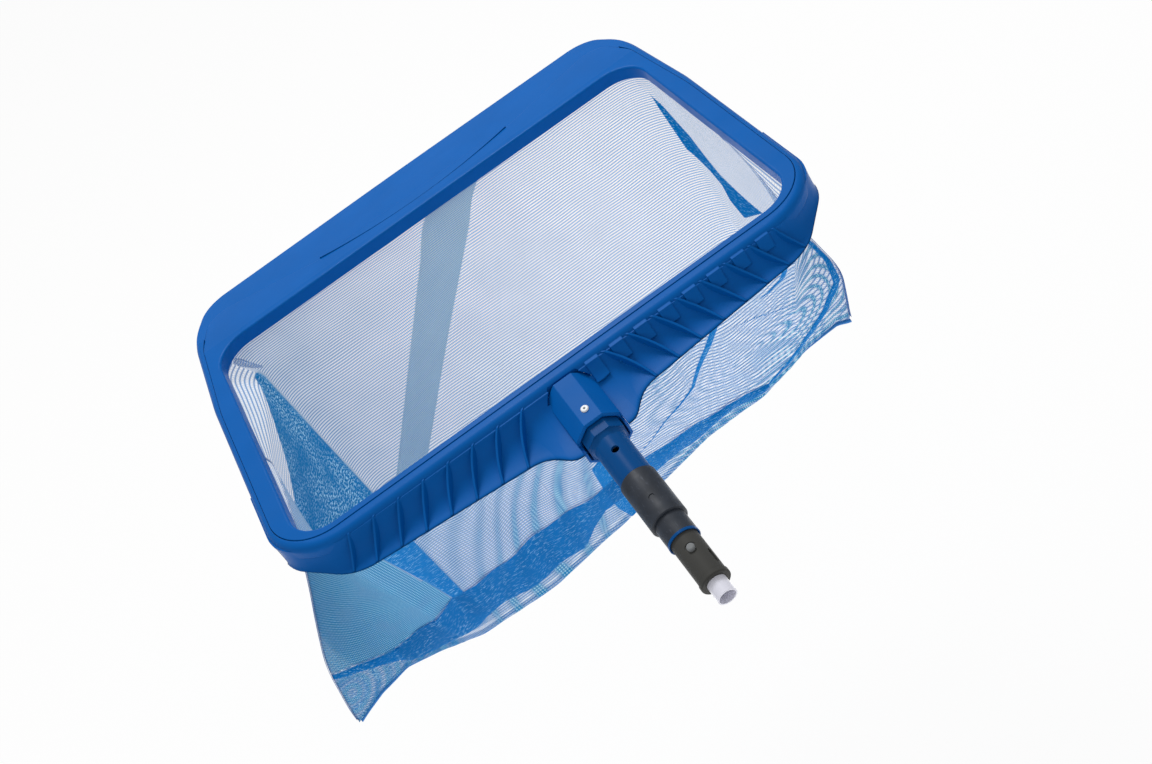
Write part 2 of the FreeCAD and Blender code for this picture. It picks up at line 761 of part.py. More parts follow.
def bag_loft(inset):
    """Outline of the bag level by level, drawn in by inset."""
    wires = []
    levels = bag_levels()
    if inset > 0:
        wires.append(wires_at(bag_z(0) + 2.0, 0.0, levels[0][1], inset))
        levels = levels[:-1]
    for share, corners in levels:
        wires.append(wires_at(bag_z(share), bag_lean * share, corners, inset))
    return wires


def wires_at(z, lean, corners, inset):
    """One level of the bag as a wire on its slightly leaning plane."""
    pts = [V(px, py, 0) for px, py, r in corners]
    n = len(pts)
    moved = []
    radii = []
    for i in range(n):
        a = (pts[i] - pts[i - 1]).normalize()
        b = (pts[(i + 1) % n] - pts[i]).normalize()
        na = V(-a.y, a.x, 0)
        nb = V(-b.y, b.x, 0)
        m = (na + nb).normalize()
        k = inset / max(m.dot(na), 0.35)
        p = pts[i] + m * k
        moved.append((p.x, p.y))
        turn = a.cross(b).z
        r = corners[i][2]
        radii.append(max(r - inset, 1.0) if r and turn > 0 else (r + inset if r else 0))
    wire = outline(moved, radii, 0)
    edges = []
    for e in wire.Edges:
        edges.append(leaned(e, z, lean))
    return Part.Wire(edges)


def leaned(edge, z, lean):
    """The edge on the plane z + lean * x, arcs kept as arcs."""
    ps = []
    first = edge.FirstParameter
    last = edge.LastParameter
    for k in (first, (first + last) / 2, last):
        p = edge.valueAt(k)
        ps.append(V(p.x, p.y, z + lean * p.x))
    if isinstance(edge.Curve, Part.Line):
        return Part.LineSegment(ps[0], ps[2]).toShape()
    return Part.Arc(ps[0], ps[1], ps[2]).toShape()


def bag_hem():
    """Folded hem of the cloth, held between the retainer's wall and the shelf."""
    g = wall_t + hem_side_gap
    ring = slab(opening_wire(g + bag_t), -rim_h - soft_gap, -hem_top_drop)
    return ring.cut(slab(opening_wire(g), -80, 20))


def net_bag():
    """Bag of net cloth under the hem: folded walls and bottom seam."""
    outer = Part.makeLoft(bag_loft(0.0), True, True)
    inner = Part.makeLoft(bag_loft(bag_t), True, True)
    return outer.cut(inner)


def strip(points, width, thick):
    """Thin strip through points: width along Y, thickness along X."""
    wires = []
    for x, y, z in points:
        w = width / 2
        t = thick / 2
        corners = [V(x - t, y - w, z), V(x + t, y - w, z)]
        corners += [V(x + t, y + w, z), V(x - t, y + w, z)]
        wires.append(Part.makePolygon(corners + corners[:1]))
    return Part.makeLoft(wires, True, True)


def seam_band():
    """Doubled band of cloth round the foot of the near wall, outside it."""
    skins = []
    for grow in (soft_gap + seam_band_t, soft_gap):
        wires = []
        for share, corners in bag_levels()[4:6]:
            wires.append(wires_at(bag_z(share), bag_lean * share, corners, -grow))
        skins.append(Part.makeLoft(wires, True, True))
    near = Part.makeBox(2 * seam_band_x, 200, 200, V(-seam_band_x, -bag_shift - 207, -330))
    return skins[0].cut(skins[1]).common(near)


def corner_gather():
    """Pucker of the cloth in the rim's far left corner."""
    x = -open_w / 2
    y = open_d / 2
    wires = []
    for dx, dy, dz, r in ((11.5, -8.5, -rim_h - 2.0, 0.7), (18.6, -16.6, -rim_h - 11.0, 1.0),
                          (26.7, -22.7, -rim_h - 24.0, 0.75), (30.0, -28.0, -rim_h - 40.0, 0.3)):
        pts = []
        for i in range(9):
            a = i * math.pi / 4
            reach = r * gather_r * (1.0 if i % 2 else 0.8)
            pts.append(V(x + dx + reach * math.cos(a), y + dy + reach * math.sin(a), dz))
        wires.append(Part.makePolygon(pts[:8] + pts[:1]))
    return Part.makeLoft(wires, True, True)


def seam_tape(side):
    """Tape over a side fold, from the rim to the seam's tip."""
    points = []
    for share, corners in bag_levels():
        x, y, r = corners[2] if side < 0 else corners[7]
        off = side * (soft_gap + tape_t / 2)
        points.append((x + off, y, bag_z(share) + bag_lean * share * x))
    points[0] = (points[0][0], points[0][1], points[0][2] - 4)
    return strip(points, tape_w, tape_t)


def bottom_binding():
    """Rolled binding under the bag's bottom seam."""
    z = -bag_depth - soft_gap
    y = -bag_shift
    wires = []
    ends = ((-bag_tip_left + 4, 0.5), (-bag_tip_left * 0.5, 1.0),
            (bag_tip_right * 0.5, 1.0), (bag_tip_right - 4, 0.5))
    for x, share in ends:
        zz = z + bag_lean * x
        h = binding_h * (0.5 + 0.5 * share)
        t = binding_t / 2
        pts = [V(x, y - t * 0.7, zz), V(x, y + t * 0.7, zz)]
        pts += [V(x, y + t, zz - h + t), V(x, y - t, zz - h + t)]
        low = Part.Arc(pts[2], V(x, y, zz - h), pts[3]).toShape()
        wires.append(Part.Wire([Part.LineSegment(pts[0], pts[1]).toShape(),
                                Part.LineSegment(pts[1], pts[2]).toShape(), low,
                                Part.LineSegment(pts[3], pts[0]).toShape()]))
    return Part.makeLoft(wires, True, True)


def panel_band():
    """Doubled band of cloth that crosses the inside of the far panel."""
    wires = []
    shares = [0.02] + [row[0] for row in bag_shares if row[0] < band_end] + [band_end]
    for share in shares:
        part = share / band_end
        y1 = far_wall(share) - 1.2 * bag_t - soft_gap - 0.3
        y0 = y1 - band_t
        cx = band_top_x + (band_end_x - band_top_x) * part
        w = (band_top_w + (band_end_w - band_top_w) * part) / 2
        z = bag_z(share)
        lean = bag_lean * share
        pts = [V(cx + sx * w, yy, z + lean * (cx + sx * w))
               for sx, yy in ((-1, y0), (1, y0), (1, y1), (-1, y1))]
        wires.append(Part.makePolygon(pts + pts[:1]))
    return Part.makeLoft(wires, True, True)


# Write the pieces.

def main():
    os.makedirs("parts", exist_ok=True)
    nodes = {
        "outer_frame": outer_frame(),
        "net_retainer": net_retainer(),
        "retainer_screws": retainer_screws(),
        "hem_cord": cord_ring(cord_r),
        "bag_hem": bag_hem(),
        "net_bag": net_bag(),
        "corner_gather": corner_gather(),
        "seam_band": seam_band(),
        "panel_band": panel_band(),
        "left_seam_tape": seam_tape(-1),
        "right_seam_tape": seam_tape(1),
        "bottom_binding": bottom_binding(),
        "socket_rivet": on_handle(socket_rivet()),
        "neck_tube": on_handle(neck_tube()),
        "grip_sleeve": on_handle(grip_sleeve()),
        "pole_adapter": on_handle(pole_adapter()),
        "snap_button_top": on_handle(snap_button(1)),
        "snap_button_bottom": on_handle(snap_button(-1)),
        "button_spring": on_handle(button_spring()),
        "pole_tube": on_handle(pole_tube()),
    }
    origin = axis_start + axis_dir * pole_end_s
    for name, shape in nodes.items():
        moved = shape.copy()
        moved.translate(origin * -1)
        moved.exportStep("parts/" + name + ".step")
        print(name, "valid" if moved.isValid() else "INVALID", len(moved.Solids),
              round(moved.Volume, 1), [round(c, 1) for c in (
                  moved.BoundBox.XMin, moved.BoundBox.XMax, moved.BoundBox.YMin,
                  moved.BoundBox.YMax, moved.BoundBox.ZMin, moved.BoundBox.ZMax)])
    print("origin", origin)


main()
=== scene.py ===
import math

import bpy
import numpy as np
from bpy.props import FloatProperty, FloatVectorProperty, IntProperty, PointerProperty
from mathutils import Matrix, Vector


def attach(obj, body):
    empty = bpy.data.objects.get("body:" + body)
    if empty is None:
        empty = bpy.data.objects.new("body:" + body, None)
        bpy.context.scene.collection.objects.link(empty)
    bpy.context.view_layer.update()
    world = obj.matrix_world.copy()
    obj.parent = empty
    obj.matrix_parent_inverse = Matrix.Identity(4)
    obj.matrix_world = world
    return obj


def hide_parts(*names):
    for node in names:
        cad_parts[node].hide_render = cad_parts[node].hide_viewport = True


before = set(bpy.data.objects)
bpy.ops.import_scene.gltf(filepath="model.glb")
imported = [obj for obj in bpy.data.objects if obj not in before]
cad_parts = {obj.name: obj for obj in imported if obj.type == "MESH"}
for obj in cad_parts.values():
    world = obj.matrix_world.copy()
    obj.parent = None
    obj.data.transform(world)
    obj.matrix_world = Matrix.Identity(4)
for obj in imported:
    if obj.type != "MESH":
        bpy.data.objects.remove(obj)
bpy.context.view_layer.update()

bl_info = {
    "name": "Leaf skimmer net",
    "version": (1, 0, 0),
    "blender": (4, 5, 0),
    "location": "View3D > Sidebar > Skimmer",
    "description": "Cloth, trim and finishes of a leaf skimmer net on its solid frame",
    "category": "Add Mesh",
}

MM = 0.001
# The cloth's points are in mm from the middle of the opening, level with the rim's top:
# X to the right, Y away from the handle.  It stands here in the frame, in mm.
NET_AT = Vector((0.0, 390.059, 60.731))


def hex_colour(code):
    """Linear RGBA of an sRGB hex colour."""
    parts = [int(code[i:i + 2], 16) / 255 for i in (0, 2, 4)]
    linear = [c / 12.92 if c <= 0.04045 else ((c + 0.055) / 1.055) ** 2.4 for c in parts]
    return (*linear, 1.0)


def placed(points):
    """Points in mm from the net's middle, as metres in the frame."""
    return (np.asarray(points, float) + np.array(NET_AT)) * MM


def smooth(edge0, edge1, value):
    """Smooth step between two edges."""
    t = np.clip((value - edge0) / (edge1 - edge0), 0, 1)
    return t * t * (3 - 2 * t)


def along(table, value):
    """Value of a table of pairs at each given place."""
    return np.interp(value, *zip(*table))


# Sizes and colours that a user would change.

LENGTH = {"unit": "LENGTH", "precision": 4}
COLOUR = {"subtype": "COLOR", "size": 4, "min": 0, "max": 1}


class ClothSizes(bpy.types.PropertyGroup):
    """Sizes of the hung cloth and of its mesh"""
    depth: FloatProperty(name="Depth", description="Rim to bottom seam at the middle",
                         default=0.285, min=0.15, max=0.4, **LENGTH)
    lean: FloatProperty(name="Lean", description="Fall of the bottom seam to the left, per length",
                        default=0.10, min=0.0, max=0.3)
    tip_left: FloatProperty(name="Left tip", description="Bottom seam's left tip, from the middle",
                            default=0.345, min=0.24, max=0.36, **LENGTH)
    tip_right: FloatProperty(name="Right tip", default=0.2745, min=0.24, max=0.3,
                             description="Bottom seam's right tip, from the middle", **LENGTH)
    rows: IntProperty(name="Rows", description="Rows of the cloth's mesh from rim to seam",
                      default=150, min=20, max=200)
    thread: FloatProperty(name="Thread pitch", description="Distance between ribs of the mesh",
                          default=0.0024, min=0.001, max=0.006, **LENGTH)
    cross: FloatProperty(name="Cross pitch", description="Distance between cross threads",
                         default=0.0017, min=0.0005, max=0.006, **LENGTH)


class NetColours(bpy.types.PropertyGroup):
    """Colours of the plastics and the cloth"""
    plastic: FloatVectorProperty(name="Plastic", description="Frame and bezel",
                                 default=hex_colour("025CAC"), **COLOUR)
    neck: FloatVectorProperty(name="Neck", description="Neck tube",
                              default=hex_colour("084A88"), **COLOUR)
    sleeve: FloatVectorProperty(name="Sleeve", description="Grip sleeve",
                                default=hex_colour("2C323C"), **COLOUR)
    adapter: FloatVectorProperty(name="Adapter", description="Pole adapter",
                                 default=hex_colour("454543"), **COLOUR)
    cloth_pale: FloatVectorProperty(name="Pale cloth", description="Single layer of the mesh",
                                    default=hex_colour("F6F9FF"), **COLOUR)
    cloth_deep: FloatVectorProperty(name="Deep cloth", description="Folded layers of the mesh",
                                    default=hex_colour("0276C0"), **COLOUR)


def sizes():
    """The cloth's sizes, with lengths in metres."""
    return bpy.context.scene.skimmer_cloth


def colours():
    """The net's colours."""
    return bpy.context.scene.skimmer_colours


def in_mm(length):
    """A length in metres as mm, free of the property's rounding."""
    return round(length / MM, 3)


# Shader helpers.

NOISE_SPAN = (0.3, 0.7)     # most of a noise's values lie between these


def node(tree, kind, inputs=(), **settings):
    """Adds one shader node with its settings.  Its inputs, by name or in the order of
    the sockets in use, are values, sockets, or nodes, which link by their first output."""
    new = tree.nodes.new("ShaderNode" + kind)
    for name, value in settings.items():
        setattr(new, name, value)
    if not isinstance(inputs, dict):
        inputs = dict(zip([i for i, s in enumerate(new.inputs) if s.enabled], inputs))
    for key, value in inputs.items():
        if isinstance(value, bpy.types.Node):
            value = next(s for s in value.outputs if s.enabled)
        if isinstance(value, bpy.types.NodeSocket):
            tree.links.new(value, new.inputs[key])
        else:
            new.inputs[key].default_value = value
    return new


def new_material(name):
    """An empty material, and its node tree."""
    made = bpy.data.materials.new(name)
    made.use_nodes = True
    made.node_tree.nodes.clear()
    return made, made.node_tree


def surfaced(made, surface):
    """The material, with the given shader as its surface."""
    node(made.node_tree, "OutputMaterial", {"Surface": surface})
    return made


def scaled_coords(tree, size, stretch=(1, 1, 1)):
    """Object coordinates in which one unit is the given size in mm."""
    coords = node(tree, "TexCoord").outputs["Object"]
    scale = [s / (size * MM) for s in stretch]
    return node(tree, "Mapping", {"Vector": coords, "Scale": scale})


def mottled(tree, colour, size, low, high):
    """The colour, lighter and darker by a soft noise of the given size in mm."""
    noise = node(tree, "TexNoise", {
        "Vector": scaled_coords(tree, size), "Scale": 1.0, "Detail": 4.0, "Roughness": 0.55})
    level = node(tree, "MapRange", (noise, *NOISE_SPAN, low, high))
    return node(tree, "HueSaturation", {"Value": level, "Color": tuple(colour)})


# Finishes of the solid pieces.

def moulded_plastic(name, colour, roughness, edge_mm):
    """Polypropylene, ABS or nylon from a steel mould."""
    # A satin skin whose gloss drifts along the flow of the melt, and edges that catch
    # a soft line of light.  The mould's grain is drawn 0.5 mm wide, because the real
    # one, about 0.1 mm, is too fine to show.
    made, tree = new_material(name)
    rounded = node(tree, "Bevel", {"Radius": edge_mm * MM}, samples=6)
    grain = node(tree, "TexNoise", {
        "Vector": scaled_coords(tree, 0.5), "Scale": 1.0, "Detail": 2.0})
    flow = node(tree, "TexNoise", {
        "Vector": scaled_coords(tree, 70.0, (1, 2.2, 1)), "Scale": 1.0, "Detail": 2.0})
    bump = node(tree, "Bump", {
        "Height": grain, "Strength": 0.06, "Distance": 0.2 * MM, "Normal": rounded})
    gloss = node(tree, "MapRange", (flow, *NOISE_SPAN, roughness - 0.04, roughness + 0.05))
    return surfaced(made, node(tree, "BsdfPrincipled", {
        "Base Color": mottled(tree, colour, 45.0, 0.95, 1.04), "Roughness": gloss,
        "Normal": bump, "IOR": 1.49, "Specular IOR Level": 0.07}))


def worn_sleeve(name, colour):
    """Soft PVC grip, dipped and worn in the hand."""
    # A dull skin with shallow dents a thumb's edge wide, mottled lighter and darker,
    # partly where it was held and partly as a painted sheen on the dents, and paler
    # scratches along the tube.
    made, tree = new_material(name)
    dents = node(tree, "TexNoise", {
        "Vector": scaled_coords(tree, 9.0, (1, 0.6, 1)), "Scale": 1.0, "Detail": 1.5})
    scratches = node(tree, "TexNoise", {
        "Vector": scaled_coords(tree, 1.6, (1, 0.2, 1)), "Scale": 1.0, "Detail": 3.0})
    rubbed = node(tree, "MapRange", (scratches, 0.62, 0.80))
    # Patches 14 mm across: partly wear where the grip was held, partly a painted sheen standing in
    # for highlights on the dents.
    held_and_sheen = mottled(tree, colour, 14.0, 0.70, 1.10)
    worn = node(tree, "Mix", (rubbed, held_and_sheen, hex_colour("474D59")), data_type="RGBA")
    bump = node(tree, "Bump", {"Height": dents, "Strength": 0.5, "Distance": 0.8 * MM})
    gloss = node(tree, "MapRange", (dents, 0.35, 0.65, 0.42, 0.60))
    return surfaced(made, node(tree, "BsdfPrincipled", {
        "Base Color": worn, "Roughness": gloss, "Normal": bump, "Specular IOR Level": 0.3}))


def painted_tube(name, colour, roughness):
    """Enamelled or coated metal."""
    # A smooth bright skin with a faint orange peel, 1.2 mm from bump to bump.
    made, tree = new_material(name)
    peel = node(tree, "TexNoise", {
        "Vector": scaled_coords(tree, 1.2), "Scale": 1.0, "Detail": 2.0})
    rounded = node(tree, "Bevel", {"Radius": 0.4 * MM}, samples=6)
    bump = node(tree, "Bump", {
        "Height": peel, "Strength": 0.05, "Distance": 0.1 * MM, "Normal": rounded})
    return surfaced(made, node(tree, "BsdfPrincipled", {
        "Base Color": mottled(tree, colour, 20.0, 0.97, 1.02), "Roughness": roughness,
        "Normal": bump, "IOR": 1.5}))


def plated_steel(name, colour, roughness):
    """Zinc-plated steel, or bright spring steel."""
    # Fine lines from drawing the wire or strip.  They are drawn 0.8 mm apart, because
    # real ones, about 0.05 mm, are too fine to show.
    made, tree = new_material(name)
    lines = node(tree, "TexNoise", {
        "Vector": scaled_coords(tree, 0.8, (1, 0.1, 1)), "Scale": 1.0, "Detail": 3.0})
    bump = node(tree, "Bump", {"Height": lines, "Strength": 0.15, "Distance": 0.05 * MM})
    return surfaced(made, node(tree, "BsdfPrincipled", {
        "Base Color": tuple(colour), "Metallic": 1.0, "Roughness": roughness,
        "Normal": bump}))


# Knitted nylon mesh.  Its UV map is in millimetres: round the bag, then down it.
# "shade" is 0 on one pale layer and 1 where blue layers lie close behind, "fold" is how
# many mm a point lies inside a fold, "phase" and "swell" are the turns and the strength
# of the moire of two layers, "lining" is 1 where the inside of the cloth shows one pale
# layer again, and "coarse" is 1 where two layers give wider lines.

KNITTED = "knitted nylon mesh"
PAINTED = ("shade", "fold", "phase", "swell", "lining", "coarse")
UNFOLDED = -10.0            # value of "fold" far from any fold
COARSEST = 0.37             # share of the threads left where "coarse" is 1
BLUE_GROUND = hex_colour("3C96C8")      # between the ribs, over blue layers
RIB_PALE, RIB_DEEP = hex_colour("4096DC"), hex_colour("0A66A6")
HOLE_DEEP, KNOT_PALE = hex_colour("1A82B8"), hex_colour("B4E4F2")
FOLD_OVER_BLUE = hex_colour("1E7CBA")
SPECK, SPECK_OVER_BLUE = hex_colour("86C2E8"), hex_colour("A6D6F0")


def mesh_threads(tree, uv, coarse):
    """Ribs and cross threads of the mesh: each 0 between threads and 1 on a crest."""
    # Threads wander by up to 4 mm down the bag, over about 60 mm.
    drift = node(tree, "TexNoise", {"Vector": uv, "Scale": 0.016, "Detail": 1.5})
    moved = node(tree, "VectorMath", (drift.outputs["Color"], (0.0, 4.0, 0.0), uv),
                 operation="MULTIPLY_ADD")
    place = node(tree, "SeparateXYZ", (moved,))
    wider = node(tree, "MapRange", (coarse, 0.0, 1.0, 1.0, COARSEST))
    crests = []
    for axis, pitch in (("Y", sizes().thread), ("X", sizes().cross)):
        spread = node(tree, "Math", (place.outputs[axis], wider), operation="MULTIPLY")
        turns = node(tree, "Math", (spread, 2 * math.pi / in_mm(pitch)), operation="MULTIPLY")
        crest = node(tree, "Math", (turns,), operation="SINE")
        crests.append(node(tree, "MapRange", (crest, -1.0, 1.0)))
    return crests


def blue_behind(tree, paint, inner, patches):
    """How strongly blue layers show behind the cloth, with the rings where two cross,
    and a painted soft shade of shallow wrinkles.
    """
    # On the inside of the near wall only a fifth is left, so that it looks like one layer.
    turns = node(tree, "Math", (paint["phase"], 2 * math.pi), operation="MULTIPLY")
    wave = node(tree, "Math", (turns,), operation="SINE")
    ring = node(tree, "MapRange", (wave, -0.7, 0.9))
    swell = node(tree, "Math", (ring, paint["swell"]), operation="MULTIPLY")
    plain = node(tree, "Math", (inner, paint["lining"]), operation="MULTIPLY")
    outer = node(tree, "MapRange", (plain, 0.0, 1.0, 1.0, 0.2))
    # Patches about 33 mm across, a little bluer or paler: painted shade of shallow wrinkles.
    wrinkle_shade = node(tree, "MapRange", (patches, *NOISE_SPAN, -0.05, 0.05))
    ringed = node(tree, "Math", (paint["shade"], swell), operation="ADD")
    wrinkle_shaded = node(tree, "Math", (ringed, wrinkle_shade), operation="ADD")
    return node(tree, "Math", (wrinkle_shaded, outer), operation="MULTIPLY")


def single_cloth(tree, paint, inner, shade, rib, cross, pale):
    """Colour of unfolded cloth: blue ribs on a pale ground, or knots over deep holes."""
    # Ribs turn deep sooner than their ground turns blue, and on the outside of the near
    # wall they are always fairly deep.  Over the closest layers the knots show instead.
    tint = node(tree, "Math", (shade, 0.85), operation="MULTIPLY")
    ground = node(tree, "Mix", (tint, tuple(pale), BLUE_GROUND), data_type="RGBA")
    bold = node(tree, "Math", (shade, 1.4), operation="MULTIPLY")
    darker = node(tree, "Math", (bold, 1.0), operation="MINIMUM")
    outside = node(tree, "MapRange", (inner, 0.0, 1.0, 0.62, 0.0))
    drawn = node(tree, "Math", (paint["lining"], outside), operation="MULTIPLY")
    depth = node(tree, "Math", (darker, drawn), operation="MAXIMUM")
    ribs = node(tree, "Mix", (depth, RIB_PALE, RIB_DEEP), data_type="RGBA")
    narrow = node(tree, "Math", (rib, 1.6), operation="POWER")
    striped = node(tree, "Mix", (narrow, ground, ribs), data_type="RGBA")
    knots = node(tree, "Math", (rib, cross), operation="MULTIPLY")
    dotted = node(tree, "Mix", (knots, HOLE_DEEP, KNOT_PALE), data_type="RGBA")
    closest = node(tree, "MapRange", (shade, 0.74, 0.95))
    return node(tree, "Mix", (closest, striped, dotted), data_type="RGBA")


def folded_cloth(tree, paint, uv, patches, deep):
    """Colour of folded cloth: deep blue with short pale specks."""
    # Light through the pinched mesh, in specks 6 mm long, or 3 mm over close layers, and
    # 1.6 mm wide.  They thin out in patches.
    layers = paint["shade"]
    per_mm = node(tree, "MapRange", (layers, 0.0, 1.0, 0.17, 0.32))
    grain = node(tree, "CombineXYZ", (per_mm, 0.62, 1.0))
    dashes = node(tree, "VectorMath", (uv, grain), operation="MULTIPLY")
    noise = node(tree, "TexNoise", {
        "Vector": dashes, "Scale": 1.0, "Detail": 2.0, "Roughness": 0.6})
    more = node(tree, "Math", (layers, 0.06), operation="MULTIPLY")
    dense = node(tree, "Math", (noise, more), operation="ADD")
    sharp = node(tree, "MapRange", (dense, 0.56, 0.64))
    often = node(tree, "MapRange", (patches, 0.38, 0.62, 0.25, 1.0))
    specks = node(tree, "Math", (sharp, often), operation="MULTIPLY")
    close = node(tree, "Mix", (layers, tuple(deep), FOLD_OVER_BLUE), data_type="RGBA")
    light = node(tree, "Mix", (layers, SPECK, SPECK_OVER_BLUE), data_type="RGBA")
    return node(tree, "Mix", (specks, close, light), data_type="RGBA")


def knitted_mesh(name, pale, deep, gap):
    """Open net of warp-knitted nylon; gap is its cover between threads on one layer,
    and over layers close behind."""
    # Ribs run round the bag and finer threads down it, with holes that let the cloth
    # behind shine through.  Real ribs stand about 1.2 mm apart, too fine to show, so
    # they are drawn at the pitch of the lines that the photo's layers give together.
    made, tree = new_material(name)
    uv = node(tree, "UVMap", uv_map="mesh_mm")
    paint = {key: node(tree, "Attribute", attribute_name=key).outputs["Fac"]
             for key in PAINTED}
    inner = node(tree, "NewGeometry").outputs["Backfacing"]
    patches = node(tree, "TexNoise", {"Vector": uv, "Scale": 0.03, "Detail": 2.0})  # 33 mm
    rib, cross = mesh_threads(tree, uv, paint["coarse"])
    shade = blue_behind(tree, paint, inner, patches)
    single = single_cloth(tree, paint, inner, shade, rib, cross, pale)
    folded = folded_cloth(tree, paint, uv, patches, deep)
    inside = node(tree, "MapRange", (paint["fold"], -0.4, 0.4))
    colour = node(tree, "Mix", (inside, single, folded), data_type="RGBA")

    finer = node(tree, "Math", (cross, 0.8), operation="MULTIPLY")
    threads = node(tree, "Math", (rib, finer), operation="MAXIMUM")
    low = node(tree, "MapRange", (shade, 0.0, 1.0, *gap))
    high = node(tree, "MapRange", (shade, 0.6, 1.0, 0.86, 0.96))
    cover = node(tree, "MapRange", (threads, 0.0, 1.0, low, high))
    alpha = node(tree, "Math", (cover, inside), operation="MAXIMUM")
    bump = node(tree, "Bump", {"Height": threads, "Strength": 0.3, "Distance": 0.3 * MM})
    yarn = node(tree, "BsdfPrincipled", {
        "Base Color": colour, "Roughness": 0.6, "Normal": bump, "Specular IOR Level": 0.05})
    lit = node(tree, "BsdfTranslucent", {"Color": colour})
    cloth = node(tree, "MixShader", (0.35, yarn, lit))
    holes = node(tree, "BsdfTransparent")
    return surfaced(made, node(tree, "MixShader", (alpha, holes, cloth)))


def woven_tape(name, colour):
    """Nylon cloth woven, braided or folded close."""
    # The mesh's own yarn with hardly a hole: a small check of threads and worn patches
    # about 5 mm long.
    made, tree = new_material(name)
    uv = node(tree, "UVMap", uv_map="mesh_mm")
    weave = node(tree, "TexChecker", {"Vector": uv, "Scale": 0.9})
    worn = node(tree, "TexNoise", {"Vector": uv, "Scale": 0.2, "Detail": 3.0})
    level = node(tree, "MapRange", (worn, *NOISE_SPAN, 0.82, 1.15))
    shade = node(tree, "HueSaturation", {"Value": level, "Color": tuple(colour)})
    bump = node(tree, "Bump", {
        "Height": weave.outputs["Fac"], "Strength": 0.3, "Distance": 0.2 * MM})
    return surfaced(made, node(tree, "BsdfPrincipled", {
        "Base Color": shade, "Roughness": 0.7, "Normal": bump}))


# Form of the hung bag.  Down the bag: share of its depth, how far the walls have
# closed in, how far the two side folds stand out, and the near wall's folds.

SHARES = (0.0, 0.10, 0.24, 0.50, 0.76, 0.96, 1.0)
FALL = (0.0, 0.12, 0.28, 0.55, 0.80, 0.96, 1.0)
SPREAD_LEFT = (0.0, 0.04, 0.17, 0.49, 0.86, 0.99, 1.0)
SPREAD_RIGHT = (0.0, 0.22, 0.46, 0.76, 1.24, 1.05, 1.0)
FOLDS = (0.0, 0.0, 0.35, 0.90, 0.80, 0.20, 0.0)
RIM_SHARE = 0.10        # share of the depth over which the cloth leaves the rim's shape

HALF_W = 239.5          # cloth's half width at the rim
HALF_D = 155.5          # and half depth
RIM_R = 36.5            # rounding of its corners there
CLOTH_TOP = -13.6       # lower edge of the hem
FOOT_Y = -25.0          # bottom seam towards the handle
FOOT_T = 5.0            # half the gap left between the walls at the foot
PANEL_FOOT = 181.0      # half width of the far panel at the foot
FOLD_OUT = 9.0          # how far a fold of the near wall stands out
LEFT_TIP = (-HALF_W + 6, 8)     # X and Y of the side folds just under the rim
RIGHT_TIP = (HALF_W - 4, 0)
TIP_R = 0.4             # rounding of the side folds, close to a crease
SIDE_R = 2              # and where they start, on the rim
FOOT_RAISE = 3.0        # cloth's lowest edge above the hem line
# Corners of the walls under the rim: X, change of X down to the foot, and rounding.
FAR_RIGHT = (HALF_W - 3, -12, 14)
FAR_LEFT = (-HALF_W + 20, HALF_W - 20 - PANEL_FOOT, 8)
NEAR_LEFT = (-HALF_W + 3, 30, 16)
LEFT_PLEAT = (-90, 20, 60)
RIGHT_PLEAT = (120, -110, 60)
NEAR_RIGHT = (HALF_W - 3, -30, 16)
# Ripples of the near wall, and slack of the far one: height in mm, mm to a radian of
# its wave along X, turn down the bag, and start.
RIPPLES = ((2.6, 15.0, 2.2, 0.0), (1.6, 8.3, 0.0, 1.0))
SLACK = (1.1, 31.0, 5.0, 0.0)

COUNTS = (116, 56, 50, 56, 84, 56, 46, 56)     # columns from corner to corner
WALLS = ("far", "left_far", "left_near", "near", "near", "near", "right_near", "right_far")
FRONT = ("near", "left_near", "right_near")
ARC_STEPS = 12          # steps along a rounded corner
# Lowest edge of the bag, from the left tip to the right one: X and Z.
HEM_LINE = ((-340, -325), (-300, -305), (-267, -298), (-234, -306), (-192, -321), (-150, -325),
            (-104, -326), (-17, -311), (38, -296), (93, -284), (161, -283), (193, -275),
            (217, -267), (255, -265), (268, -272))


def eased(share, table):
    """Value of a table at a share of the depth, its corners smoothed but for the ends."""
    around = np.array([share])
    if 0 < share < 1:
        around = np.clip(share + np.linspace(-0.05, 0.05, 9), 0, 1)
    return float(np.mean(np.interp(around, SHARES, table)))


def plan_corners(share):
    """Eight corners of the bag at a share of its depth: x, y and rounding."""
    fall, left, right, fold = (eased(share, t)
                               for t in (FALL, SPREAD_LEFT, SPREAD_RIGHT, FOLDS))
    far = HALF_D + (FOOT_T + FOOT_Y - HALF_D) * fall
    near = -HALF_D + (FOOT_Y - FOOT_T + HALF_D) * fall
    out = FOLD_OUT * fold

    def corner(place, y):
        x, change, rounding = place
        return x + change * fall, y, rounding

    def tip(place, spread, reach):
        x, y = place
        return x + reach * spread, FOOT_Y * spread + y * (1 - spread), TIP_R

    low = [corner(FAR_RIGHT, far), corner(FAR_LEFT, far),
           tip(LEFT_TIP, left, HALF_W - in_mm(sizes().tip_left)),
           corner(NEAR_LEFT, near), corner(LEFT_PLEAT, near + 0.6 * out),
           corner(RIGHT_PLEAT, near - out), corner(NEAR_RIGHT, near),
           tip(RIGHT_TIP, right, in_mm(sizes().tip_right) - HALF_W)]
    rim = [(HALF_W, HALF_D, RIM_R), (-HALF_W, HALF_D, RIM_R), (-HALF_W, 0, SIDE_R),
           (-HALF_W, -HALF_D, RIM_R), (LEFT_PLEAT[0], -HALF_D, LEFT_PLEAT[2]),
           (RIGHT_PLEAT[0], -HALF_D, RIGHT_PLEAT[2]), (HALF_W, -HALF_D, RIM_R),
           (HALF_W, 0, SIDE_R)]
    blend = float(smooth(0.0, RIM_SHARE, share))
    return [tuple(a + (b - a) * blend for a, b in zip(p, q)) for p, q in zip(rim, low)]


